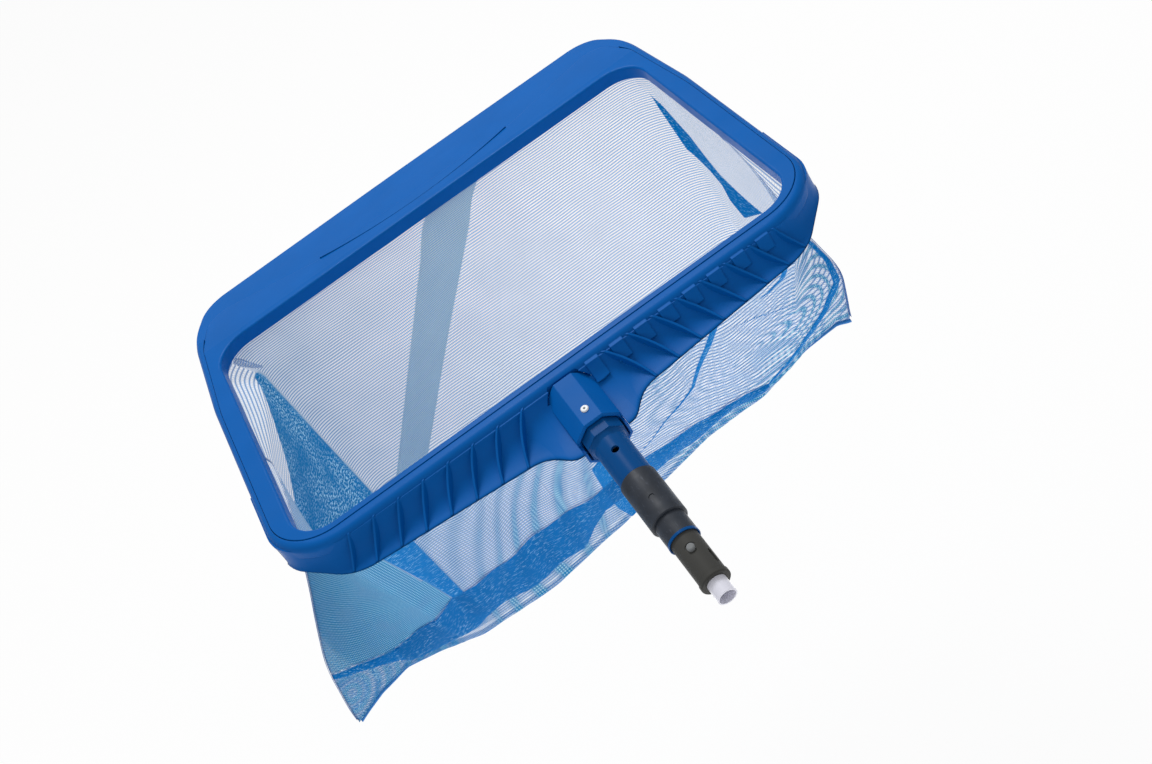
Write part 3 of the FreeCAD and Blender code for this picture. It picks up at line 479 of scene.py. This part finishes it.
def corner_arc(before, at, after, radius):
    """Points of one rounded corner in plan."""
    before, at, after = (np.array(p[:2], float) for p in (before, at, after))
    into = (at - before) / np.linalg.norm(at - before)
    away = (after - at) / np.linalg.norm(after - at)
    turn = math.acos(float(np.clip(into @ away, -1, 1)))
    if turn < 0.02 or radius < 0.1:         # straight on, or sharp
        return np.repeat(at[None], ARC_STEPS + 1, 0)
    # An arc uses less than half of the shorter side, and a tight fold stays slim.
    longest = 0.45 * min(np.linalg.norm(at - before), np.linalg.norm(after - at))
    reach = min(radius * math.tan(turn / 2), 4 * radius, longest)
    radius = reach / math.tan(turn / 2)
    side = np.sign(into[0] * away[1] - into[1] * away[0])
    centre = at - into * reach + side * radius * np.array([-into[1], into[0]])
    start = at - into * reach - centre
    angles = math.atan2(start[1], start[0]) + side * turn * np.linspace(0, 1, ARC_STEPS + 1)
    return centre + radius * np.stack([np.cos(angles), np.sin(angles)], 1)


def plan_ring(share):
    """The bag's outline at a share of its depth, in fixed columns."""
    corners = plan_corners(share)
    count = len(corners)
    arcs = [corner_arc(corners[i - 1], corners[i], corners[(i + 1) % count], corners[i][2])
            for i in range(count)]
    half = ARC_STEPS // 2
    parts = []
    for i in range(count):
        line = np.vstack([arcs[i][half:], arcs[(i + 1) % count][:half + 1]])
        length = np.r_[0, np.cumsum(np.linalg.norm(np.diff(line, axis=0), axis=1))]
        stops = np.linspace(0, length[-1], COUNTS[i], endpoint=False)
        parts.append(np.stack([np.interp(stops, length, line[:, k]) for k in (0, 1)], 1))
    return np.vstack(parts)


def rippled(x, share, wave):
    """Height of one wave of the cloth at X and a share of the depth."""
    height, length, turn, start = wave
    return height * np.sin(x / length + turn * share + start)


def bag_points():
    """Shares of the depth, rows of points down the bag in mm, and each column's wall."""
    depth, lean = in_mm(sizes().depth), sizes().lean
    shares = np.linspace(0, 1, sizes().rows)
    wall = np.repeat(WALLS, COUNTS)
    near, far = wall == "near", wall == "far"
    grid = []
    for share in shares:
        xy = plan_ring(share)
        z = CLOTH_TOP + (-depth - CLOTH_TOP) * share + lean * share * xy[:, 0]
        foot = -depth + lean * xy[:, 0]
        # The hem's waves fade out up the bag, and the ripples towards rim and foot.
        wanted = along(HEM_LINE, xy[:, 0]) + FOOT_RAISE
        z = z + (wanted - foot) * share ** 2.5
        belly = math.sin(math.pi * min(1, share * 1.05)) ** 1.5
        ripple = sum(rippled(xy[:, 0], share, wave) for wave in RIPPLES)
        xy[near, 1] += (ripple * belly)[near]
        xy[far, 1] -= np.abs(rippled(xy[:, 0], share, SLACK) * belly)[far]
        grid.append(np.column_stack([xy, z]))
    return shares, np.array(grid), wall


# Folds on the bag.  An area's corners are X in mm and share of the depth, or Y in place
# of X on the right end.  A ribbon also has its half width in mm at each point.

LEFT_FOLD = ((-208, 0.03), (-202, 0.25), (-195, 0.49), (-187, 0.72), (-186, 0.86), (-170, 0.88),
             (-176, 0.72), (-175, 0.51), (-173, 0.29), (-169, 0.03))
TAB = ((-18, 0.60), (0, 0.58), (8, 0.95), (-2, 1.0), (-10, 1.0), (-17, 0.90), (-19, 0.80))
RIGHT_FOLD = ((148, 0.04), (127, 0.10), (103, 0.16), (85, 0.21), (71, 0.28), (56, 0.35),
              (41, 0.40), (15, 0.49), (38, 0.53), (52, 0.46), (58, 0.40), (70, 0.35),
              (85, 0.31), (101, 0.26), (120, 0.17), (134, 0.11))
RIBBONS = (
    ((142, 0.15, 3.6), (136, 0.31, 3.6), (121, 0.44, 3.2), (97, 0.61, 2.6), (63, 0.645, 1.6),
     (27, 0.70, 0.7)),
    ((224, 0.20, 1.2), (215, 0.32, 3.0), (208, 0.40, 3.6), (192, 0.40, 2.2), (174, 0.38, 0.5)),
    ((145, 0.41, 0.5), (178, 0.50, 1.3), (202, 0.59, 1.1), (227, 0.67, 0.5)),
    ((165, 0.955, 2.0), (216, 0.93, 5.0), (247, 0.88, 5.0), (270, 0.79, 4.5), (271, 0.68, 3.0),
     (261, 0.55, 1.6)))
# Edges of the doubled band above the bottom seam: X and share of the depth.
BAND_TOP = ((-326, 0.79), (-272, 0.86), (-261, 0.86), (-187, 0.72), (-74, 0.72), (-25, 0.74),
            (31, 0.75), (71, 0.81), (109, 0.87), (141, 0.885), (168, 0.95))
BAND_LOW = ((-326, 0.81), (-281, 0.90), (-259, 0.96), (-233, 0.97), (-207, 0.95), (-178, 0.91),
            (-115, 0.92), (-63, 0.94), (-46, 0.89), (-27, 0.86), (32, 0.88), (77, 0.93),
            (106, 0.93), (168, 0.965))
# Crease of the left end's far half: share of the depth and Y.
LEFT_CREASE = ((0.0, 175), (0.07, 150), (0.08, 133), (0.095, 115), (0.12, 90), (0.15, 65),
               (0.18, 50), (0.23, 28), (0.28, 12), (0.33, 3), (0.5, -12), (1.0, -20))
CREASE_SLOPE = 0.7      # mm that a point lies inside the left fold, to a mm of Y
LAYER_STEP = 1.6        # how far a folded layer stands out, mm

# Paint of the cloth: X and value.
FAR_SHADE = ((-200, 0.66), (-60, 0.36), (120, 0.04))
NEAR_SHADE = ((-170, 0.42), (-20, 0.36), (60, 0.02))
NEAR_COARSE = ((-186, 0.27), (-175, 0.71), (-60, 0.71), (160, 1.0))
PLAIN_SHADE = 0.10      # the right end
LEFT_FAR_SHADE = 0.35
FOOT_SHADE = 0.48       # near wall under the doubled band
WEAVE_SHADE = 0.92      # near wall over the left end's layers
WEAVE_EDGE = (-177, -183)       # X at which those layers begin and are full
LEFT_FAR_COARSE = 0.7
# Bands and rings of the moire of two layers.
LEFT_BANDS = ((-186, -165), (30, -40))      # X at which they begin and end, softly
RIGHT_RINGS = (20, 70)                      # X at which these begin
BAND_SWELL, RING_SWELL, TIP_SWELL = 0.52, 1.05, -0.30
BAND_STEP, RING_STEP, ARC_STEP, LINE_STEP = 25.0, 7.0, 11.0, 15.0     # mm to a turn
RING_FROM = 25                              # X right of which rings replace bands
RING_AT = (158, 0.68)                       # middle of the rings, X and share
TIP_AT = (-322, 0.90)                       # middle of the arcs at the left tip


def ribbon_depth(x, s, path):
    """How far points lie inside a ribbon along a path, in mm; negative outside."""
    depth = in_mm(sizes().depth)
    best = np.full(np.shape(x), -1e3)
    for (x0, s0, w0), (x1, s1, w1) in zip(path, path[1:]):
        dx, ds = x1 - x0, (s1 - s0) * depth
        t = np.clip(((x - x0) * dx + (s - s0) * depth * ds) / (dx * dx + ds * ds), 0, 1)
        off = np.hypot(x - x0 - t * dx, (s - s0) * depth - t * ds)
        best = np.maximum(best, w0 + (w1 - w0) * t - off)
    return best


def area_depth(x, s, corners):
    """How far points lie inside an area with the given corners, in mm."""
    closed = list(corners) + [corners[0]]
    off = -ribbon_depth(x, s, [(px, ps, 0.0) for px, ps in closed])
    inside = np.zeros(np.shape(x), bool)
    for (x0, s0), (x1, s1) in zip(closed, closed[1:]):
        crosses = (s0 > s) != (s1 > s)
        at = x0 + (s - s0) * (x1 - x0) / (s1 - s0 if s1 != s0 else 1e-9)
        inside ^= crosses & (x < at)
    return np.where(inside, off, -off)


def fold_depth(x, y, s, wall, front):
    """How far each point of the bag lies inside a fold, in mm; negative outside."""
    shapes = [area_depth(x, s, LEFT_FOLD), area_depth(x, s, TAB)]
    shapes += [ribbon_depth(x, s, path) for path in RIBBONS]
    fold = np.where(front, np.maximum.reduce(shapes), UNFOLDED)
    band = np.minimum(s - along(BAND_TOP, x), along(BAND_LOW, x) - s) * in_mm(sizes().depth)
    fold = np.where(wall == "left_near", np.maximum(fold, band), fold)
    fold = np.where(wall == "left_far", CREASE_SLOPE * (y - along(LEFT_CREASE, s)), fold)
    fold = np.where(wall == "right_far", area_depth(y, s, RIGHT_FOLD), fold)
    return np.clip(fold, UNFOLDED, -UNFOLDED)


def layer_shade(x, s, wall, front, fold):
    """0 where one pale layer shows, 1 where blue layers lie close behind it."""
    above = s < along(BAND_TOP, x)
    shade = np.where(wall == "far", along(FAR_SHADE, x), PLAIN_SHADE)
    shade = np.where(wall == "left_far", LEFT_FAR_SHADE, shade)
    shade = np.where(front, along(NEAR_SHADE, x), shade)
    shade = np.where(front & (s > along(BAND_LOW, x)), FOOT_SHADE, shade)
    weave = smooth(*WEAVE_EDGE, x) * above * WEAVE_SHADE
    shade = np.where(front, np.maximum(shade, weave), shade)
    shade = np.where((wall == "left_near") & ~above, 1.0, shade)
    return np.where(fold > 0, np.where(wall == "left_far", 1.0, 0.0), shade)


def from_tip(x, s):
    """Distance in mm from the middle of the arcs at the left tip."""
    return np.hypot(x - TIP_AT[0], (s - TIP_AT[1]) * in_mm(sizes().depth))


def moire(x, s, wall, front):
    """Turns and strength of the bands and rings where two layers cross."""
    # Bands slant and bend down the wall, rings are tilted ovals, and both wander.
    fall = (s - RING_AT[1]) * in_mm(sizes().depth)
    beside = x - RING_AT[0]
    bands = x / BAND_STEP + 10.0 * s - 5.0 * s * s + 0.25 * np.sin(x / 27.0 + 7.0 * s)
    rings = (np.hypot(beside * 0.5, fall - 0.25 * beside)
             + 6.0 * np.sin(x / 21.0) * np.sin(fall / 24.0)) / RING_STEP
    phase = np.where(x > RING_FROM, rings, bands)
    phase = np.where(wall == "left_near", from_tip(x, s) / ARC_STEP, phase)

    (start, full), (end, last) = LEFT_BANDS
    left = smooth(start, full, x) * smooth(end, last, x)
    right = smooth(*RIGHT_RINGS, x)
    fine = 0.75 + 0.25 * np.sin(x / 51.0 + 4.0 * s)
    swell = np.where(front, fine * (BAND_SWELL * left + RING_SWELL * right), 0.0)
    below = (wall == "left_near") & (s >= along(BAND_TOP, x))
    return phase, np.where(below, TIP_SWELL, swell)


def paint_cloth(shares, grid, wall):
    """Values painted on the bag's cloth, one for each name that its material reads."""
    rows, columns = grid.shape[:2]
    x, y = grid[:, :, 0], grid[:, :, 1]
    s = np.repeat(shares[:, None], columns, 1)
    wall = np.repeat(wall[None], rows, 0)
    front = np.isin(wall, FRONT)
    fold = fold_depth(x, y, s, wall, front)
    shade = layer_shade(x, s, wall, front, fold)
    phase, swell = moire(x, s, wall, front)
    # Fine light arcs on the doubled cloth below the band, at the left tip.
    closed = (wall == "left_near") & (s >= along(BAND_LOW, x))
    arcs = 0.02 + 0.30 * np.cos(2 * math.pi * from_tip(x, s) / LINE_STEP)
    fold = np.where(closed & (fold < 0), np.maximum(fold, arcs), fold)
    coarse = np.where(wall == "left_far", LEFT_FAR_COARSE, 0.0)
    coarse = np.where(front, along(NEAR_COARSE, x), coarse)
    return {"shade": shade, "fold": fold, "phase": phase, "swell": swell,
            "lining": np.where(front, 1.0, 0.0), "coarse": coarse}


def front_surface(shares, grid, wall):
    """Function that gives the point of the bag's front at an X and a share."""
    front = np.where(np.isin(wall, FRONT))[0]

    def at(x, share):
        row = float(np.interp(share, shares, np.arange(len(shares))))
        low = int(row)
        high = min(low + 1, len(shares) - 1)
        found = []
        for i in (low, high):
            line = grid[i, front]
            order = np.argsort(line[:, 0])
            found.append(np.array([x] + [np.interp(x, line[order, 0], line[order, k])
                                         for k in (1, 2)]))
        return found[0] + (found[1] - found[0]) * (row - low)
    return at


# Sheets of cloth.

def sheet_map(grid):
    """Map of a sheet in mm: along its top edge, and down by its real length."""
    rows, columns = grid.shape[:2]
    step = np.linalg.norm(np.diff(grid[:1], axis=1), axis=2)
    across = np.concatenate([np.zeros((1, 1)), np.cumsum(step, axis=1)], 1)
    fall = np.linalg.norm(np.diff(grid, axis=0), axis=2)
    down = np.concatenate([np.zeros((1, columns)), np.cumsum(fall, axis=0)], 0)
    return np.dstack([np.repeat(across, rows, 0), down])


def cloth_object(name, grid, material, paint=(), closed=False, flip=False):
    """A sheet of cloth from a grid of points in mm, with its map and its paint.  A closed
    one joins its last column to its first, and a flipped one faces the other way."""
    rows, columns = grid.shape[:2]
    faces = []
    loops = []
    for i in range(rows - 1):
        for j in range(columns if closed else columns - 1):
            ring = [(i, j), (i, j + 1), (i + 1, j + 1), (i + 1, j)]
            if flip:
                ring.reverse()
            faces.append([row * columns + column % columns for row, column in ring])
            loops.extend(ring)
    mesh = bpy.data.meshes.new(name)
    mesh.from_pydata([tuple(p) for p in placed(grid.reshape(-1, 3))], [], faces)

    uv = sheet_map(grid)
    if closed:
        girth = 2 * uv[0, -1, 0] - uv[0, -2, 0]
        uv = np.concatenate([uv, uv[:, :1] + np.array([girth, 0])], 1)
    layer = mesh.uv_layers.new(name="mesh_mm")
    layer.data.foreach_set("uv", np.array([uv[i, j] for i, j in loops], float).ravel())
    for key, values in dict(paint).items():
        layer = mesh.attributes.new(key, "FLOAT", "POINT")
        layer.data.foreach_set("value", np.broadcast_to(values, (rows, columns)).ravel())
    mesh.validate()
    mesh.shade_smooth()
    mesh.materials.append(material)
    made = bpy.data.objects.new(name, mesh)
    bpy.context.scene.collection.objects.link(made)
    return made


def even_paint(shade, fold):
    """Paint of a small sheet that is the same all over."""
    return {"shade": shade, "fold": fold, "phase": 0.0, "swell": 0.0}


class SKIMMER_OT_bag(bpy.types.Operator):
    """Hang the net bag under the rim"""
    bl_idname = "skimmer.bag"
    bl_label = "Net bag"

    def execute(self, context):
        shares, grid, wall = bag_points()
        painted = paint_cloth(shares, grid, wall)
        # A folded layer stands out by a soft step, 3.5 mm wide across its edge.
        raised = LAYER_STEP * smooth(-1.5, 2.0, painted["fold"])
        grid[:, :, 1] -= np.where(np.isin(wall, FRONT), raised, 0)
        knit = knitted_mesh(KNITTED, colours().cloth_pale, colours().cloth_deep,
                            gap=(0.04, 0.88))
        made = cloth_object("bag_cloth", grid, knit, painted, closed=True, flip=True)
        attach(made, "head")
        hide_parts("net_bag")
        return {"FINISHED"}


class SKIMMER_OT_trim(bpy.types.Operator):
    """Sew the tapes, bands and rolled hem onto the bag"""
    bl_idname = "skimmer.trim"
    bl_label = "Tapes and bands"

    def execute(self, context):
        shares, grid, wall = bag_points()
        tape = woven_tape("folded nylon tape", hex_colour("0F66AC"))
        self.tape("left_tape_cloth", "left_seam_tape", grid[2:-1, sum(COUNTS[:2])], -1, tape)
        self.tape("right_tape_cloth", "right_seam_tape", grid[2:-1, sum(COUNTS[:7])], 1, tape)
        self.panel_band(shares, grid, wall)
        self.foot_band(shares, grid, wall)
        self.hem_roll(grid, wall)
        return {"FINISHED"}

    def tape(self, name, node_name, line, side, material):
        """Tape down one side seam, a little proud of the cloth and bowed outwards."""
        half, proud = 2.4, 0.5
        strip = np.stack([line + np.array([side * proud, o, 0]) for o in (-half, 0.0, half)], 1)
        strip[:, 1, 0] += side * proud
        made = cloth_object(name, strip, material, flip=side > 0)
        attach(made, "head")
        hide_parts(node_name)

    def panel_band(self, shares, grid, wall):
        """Doubled band that crosses the inside of the far panel."""
        end = 0.56                                  # share of the depth at its foot
        top_middle, foot_middle = 27.0, -165.0      # X of its middle
        top_width, foot_width = 60.0, 35.0
        proud = 1.1
        rows = []
        for share, line in zip(shares, grid[:, wall == "far"]):
            if share > end:
                break
            middle = top_middle + (foot_middle - top_middle) * share / end
            half = 0.5 * (top_width + (foot_width - top_width) * share / end)
            xs = np.linspace(middle + half, middle - half, 12)
            order = np.argsort(line[:, 0])
            ys = np.interp(xs, line[order, 0], line[order, 1]) - proud
            zs = np.interp(xs, line[order, 0], line[order, 2])
            rows.append(np.column_stack([xs, ys, zs]))
        knit = knitted_mesh("doubled nylon mesh", hex_colour("C8E6DE"), hex_colour("68A4B8"),
                            gap=(0.45, 0.6))
        made = cloth_object("far_band_cloth", np.array(rows), knit, even_paint(0.12, UNFOLDED))
        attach(made, "head")
        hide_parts("panel_band")

    def foot_band(self, shares, grid, wall):
        """Doubled band of cloth round the foot of the near wall, ruffled."""
        at = front_surface(shares, grid, wall)
        # Both edges waver by a share of the depth, and the band stands out by 0.9 mm or
        # more, most in its middle.
        left_end, right_end = -262.0, 166.0
        rows = []
        for part in np.linspace(0, 1, 16):
            line = []
            for x in np.linspace(left_end, right_end, 150):
                top = along(BAND_TOP, x) + 0.006 * math.sin(x / 7.0)
                low = along(BAND_LOW, x) + 0.008 * math.sin(x / 11.0)
                ruffle = 1.6 + 1.4 * math.sin(math.pi * part) + 0.7 * math.sin(x / 9.0 + 3 * part)
                line.append(at(x, top + (low - top) * part) - np.array([0, ruffle, 0]))
            rows.append(line)
        knit = bpy.data.materials[KNITTED]
        made = cloth_object("foot_band_cloth", np.array(rows), knit, even_paint(0.0, -UNFOLDED))
        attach(made, "head")
        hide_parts("seam_band")

    def hem_roll(self, grid, wall):
        """Rolled hem that closes the bottom seam, a little uneven along its length."""
        radius, lowered = 2.4, 2.0
        line = grid[-1][np.isin(wall, ("far", "left_far", "right_far"))]
        line = line[np.argsort(line[:, 0])]
        xs = np.linspace(line[0, 0], line[-1, 0], 160)
        zs = np.interp(xs, line[:, 0], line[:, 2])
        rows = []
        for angle in np.linspace(2 * math.pi, 0, 11):
            rows.append(np.column_stack([
                xs, FOOT_Y + radius * np.sin(angle) + 0.5 * np.sin(xs / 14.0),
                zs - lowered + radius * np.cos(angle) + 0.4 * np.sin(xs / 9.0)]))
        roll = woven_tape("rolled nylon hem", hex_colour("1270BA"))
        made = cloth_object("hem_roll_cloth", np.array(rows), roll)
        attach(made, "head")
        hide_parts("bottom_binding")


class SKIMMER_OT_hem(bpy.types.Operator):
    """Fold the hem behind the bezel and pucker the cloth's corner"""
    bl_idname = "skimmer.hem"
    bl_label = "Hem and pucker"

    def execute(self, context):
        self.hem()
        self.pucker()
        return {"FINISHED"}

    def hem(self):
        """Sewn hem that the bezel clamps, just inside the cloth's own outline."""
        inside = 0.9985
        ring = plan_ring(0.0) * inside
        band = np.array([np.column_stack([ring, np.full(len(ring), z)])
                         for z in np.linspace(-3.4, CLOTH_TOP + 0.3, 6)])
        pale = woven_tape("sewn nylon hem", hex_colour("D5DEEC"))
        made = cloth_object("hem_cloth", band, pale, closed=True)
        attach(made, "head")
        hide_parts("bag_hem")

    def pucker(self):
        """Gathered corner of the cloth under the far left of the rim."""
        # A fluted strip bent round the path by 218 degrees, open towards the corner.
        path = np.array([(-225, 144, -15), (-220, 140, -20), (-214, 136, -26), (-207, 133, -32)])
        widths = np.array([2.2, 2.8, 1.8, 0.6])
        points = range(len(path))
        angles = math.radians(-45) + np.linspace(-1.9, 1.9, 40)
        rows = []
        for v in np.linspace(0, 3, 26):
            x, y, z = (np.interp(v, points, path[:, k]) for k in range(3))
            ruffle = np.interp(v, points, widths) * (
                1 + 0.28 * np.sin(7 * angles + 1.3 * v) + 0.12 * np.sin(11 * angles))
            rows.append(np.column_stack([x + ruffle * np.cos(angles), y + ruffle * np.sin(angles),
                                         z + 0.8 * np.cos(angles)]))
        knit = bpy.data.materials[KNITTED]
        made = cloth_object("corner_pucker_cloth", np.array(rows), knit,
                            even_paint(0.35, UNFOLDED))
        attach(made, "head")
        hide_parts("corner_gather")


class SKIMMER_OT_finishes(bpy.types.Operator):
    """Give the moulded, metal and corded pieces their finishes"""
    bl_idname = "skimmer.finishes"
    bl_label = "Finishes"

    def execute(self, context):
        paint = colours()
        acetal = moulded_plastic("acetal", hex_colour("7F8284"), 0.4, edge_mm=0.2)
        finishes = {
            "outer_frame": moulded_plastic("moulded polypropylene", paint.plastic, 0.43,
                                           edge_mm=1.1),
            "net_retainer": moulded_plastic("moulded bezel", paint.plastic, 0.32, edge_mm=0.7),
            "neck_tube": moulded_plastic("extruded ABS", paint.neck, 0.30, edge_mm=0.5),
            "grip_sleeve": worn_sleeve("soft PVC", paint.sleeve),
            "pole_adapter": moulded_plastic("moulded nylon", paint.adapter, 0.50, edge_mm=0.4),
            "snap_button_top": acetal,
            "snap_button_bottom": acetal,
            "pole_tube": painted_tube("coated aluminium", hex_colour("E6E6F2"), 0.28),
            "socket_rivet": painted_tube("enamelled rivet", hex_colour("E4E7EA"), 0.35),
            "button_spring": plated_steel("spring steel", hex_colour("B4B6B8"), 0.3),
            "retainer_screws": plated_steel("zinc-plated steel", hex_colour("C2C4C6"), 0.35),
            "hem_cord": woven_tape("braided cord", hex_colour("DDDDDF")),
        }
        for name, finish in finishes.items():
            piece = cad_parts[name]
            if not piece.data.materials:
                piece.data.materials.append(finish)
            for slot in piece.material_slots:
                slot.material = finish
        return {"FINISHED"}


# Studio.  The camera's three angles are in degrees, and the net's middle lies so far
# right of the camera, below it and ahead of it, in mm.

CAMERA_ANGLES = (-35.73, 50.23, -2.66)
NET_FROM_CAMERA = Vector((-80.7, -88.9, 1269.5))
FOCUS_PX, PHOTO_PX, SENSOR = 1500.0, 1152.0, 36.0
FLOOR_AT, FLOOR_SIZE = (0, 0.4, -0.62), 12.0
FLOOR_GREY = (0.9, 0.9, 0.9, 1)
FLOOR_GLOW = 0.93       # share of plain white where the camera sees the floor
WHITE = (1, 1, 1, 1)
SKY_LIGHT = 0.56        # the sky's strength on the object; the camera sees it white
LIT_POINT = Vector((0, 0.35, 0))
# Place in metres, watts and width in metres.
LAMPS = (("key_lamp", (0.15, 1.6, 1.8), 29.0, 0.7),
         ("fill_lamp", (-1.0, -1.3, 0.9), 3.0, 1.8),
         ("table_lamp", (0.0, 0.35, -0.6), 9.0, 1.8))


def camera_turn(roll, pitch, yaw):
    """Rows of the camera: right, down and forward, from its three angles in degrees."""
    roll, pitch, yaw = (math.radians(a) for a in (roll, pitch, yaw))
    across = Vector((1, 0, 0))
    down = Vector((0, -math.cos(pitch), -math.sin(pitch)))
    base = Matrix((across, down, across.cross(down)))
    return Matrix.Rotation(roll, 3, "Z") @ Matrix.Rotation(yaw, 3, "Y") @ base


class SKIMMER_OT_stage(bpy.types.Operator):
    """Set the floor, the soft light and the camera"""
    bl_idname = "skimmer.stage"
    bl_label = "Stage"

    def execute(self, context):
        self.floor()
        self.lights(context.scene)
        self.camera(context.scene)
        context.scene.view_settings.view_transform = "Standard"
        return {"FINISHED"}

    def camera(self, scene):
        """Camera where the photo was taken from."""
        rows = camera_turn(*CAMERA_ANGLES)
        place = -(rows.transposed() @ NET_FROM_CAMERA) + NET_AT
        data = bpy.data.cameras.new("studio_camera")
        data.lens = SENSOR * FOCUS_PX / PHOTO_PX
        data.sensor_width = SENSOR
        data.clip_start = 0.01
        data.clip_end = 50.0
        shot = bpy.data.objects.new("studio_camera", data)
        turned = Matrix((rows[0], -rows[1], -rows[2])).transposed()
        shot.matrix_world = Matrix.Translation(place * MM) @ turned.to_4x4()
        scene.collection.objects.link(shot)
        scene.camera = shot

    def floor(self):
        """Plain pale floor well under the bag, near white where it is seen."""
        bpy.ops.mesh.primitive_plane_add(size=FLOOR_SIZE, location=FLOOR_AT)
        plane = bpy.context.object
        plane.name = "studio_floor"
        made, tree = new_material("studio floor")
        path = node(tree, "LightPath")
        seen = node(tree, "Math", (path.outputs["Is Camera Ray"], path.outputs["Is Glossy Ray"]),
                    operation="MAXIMUM")
        paint = node(tree, "BsdfDiffuse", {"Color": FLOOR_GREY})
        glow = node(tree, "Emission", {"Color": WHITE, "Strength": 1.0})
        soft = node(tree, "MixShader", (FLOOR_GLOW, paint, glow))
        plane.data.materials.append(surfaced(made, node(tree, "MixShader", (seen, paint, soft))))

    def lights(self, scene):
        """Even sky, a broad lamp above the far side, a weak one at the near left, and a
        wide one just above the floor that lights the bag from below."""
        world = bpy.data.worlds.new("studio_sky")
        world.use_nodes = True
        tree = world.node_tree
        tree.nodes.clear()
        path = node(tree, "LightPath")
        level = node(tree, "MapRange", (path.outputs["Is Camera Ray"], 0.0, 1.0, SKY_LIGHT, 1.0))
        sky = node(tree, "Background", {"Color": WHITE, "Strength": level})
        node(tree, "OutputWorld", {"Surface": sky})
        scene.world = world
        for name, place, power, size in LAMPS:
            data = bpy.data.lights.new(name, "AREA")
            data.energy = power
            data.size = size
            lamp = bpy.data.objects.new(name, data)
            lamp.visible_camera = False
            turned = (LIT_POINT - Vector(place)).to_track_quat("-Z", "Y").to_matrix()
            lamp.matrix_world = Matrix.Translation(place) @ turned.to_4x4()
            scene.collection.objects.link(lamp)


class SKIMMER_PT_panel(bpy.types.Panel):
    """Skimmer net"""
    bl_idname = "SKIMMER_PT_panel"
    bl_label = "Skimmer net"
    bl_space_type = "VIEW_3D"
    bl_region_type = "UI"
    bl_category = "Skimmer"

    def draw(self, context):
        for group in (context.scene.skimmer_cloth, context.scene.skimmer_colours):
            for name in group.__annotations__:
                self.layout.prop(group, name)
        for step in STEPS:
            self.layout.operator(step.bl_idname)


STEPS = (SKIMMER_OT_finishes, SKIMMER_OT_bag, SKIMMER_OT_trim, SKIMMER_OT_hem, SKIMMER_OT_stage)
CLASSES = (ClothSizes, NetColours, *STEPS, SKIMMER_PT_panel)


def register():
    """Adds the classes and their values to Blender."""
    for kind in CLASSES:
        bpy.utils.register_class(kind)
    bpy.types.Scene.skimmer_cloth = PointerProperty(type=ClothSizes)
    bpy.types.Scene.skimmer_colours = PointerProperty(type=NetColours)


def unregister():
    """Takes them out again."""
    del bpy.types.Scene.skimmer_cloth
    del bpy.types.Scene.skimmer_colours
    for kind in reversed(CLASSES):
        bpy.utils.unregister_class(kind)


def main():
    """Builds the whole net."""
    register()
    bpy.ops.object.select_all(action="DESELECT")
    bpy.ops.skimmer.finishes()
    bpy.ops.skimmer.bag()
    bpy.ops.skimmer.trim()
    bpy.ops.skimmer.hem()
    bpy.ops.skimmer.stage()


if __name__ == "__main__":
    main()
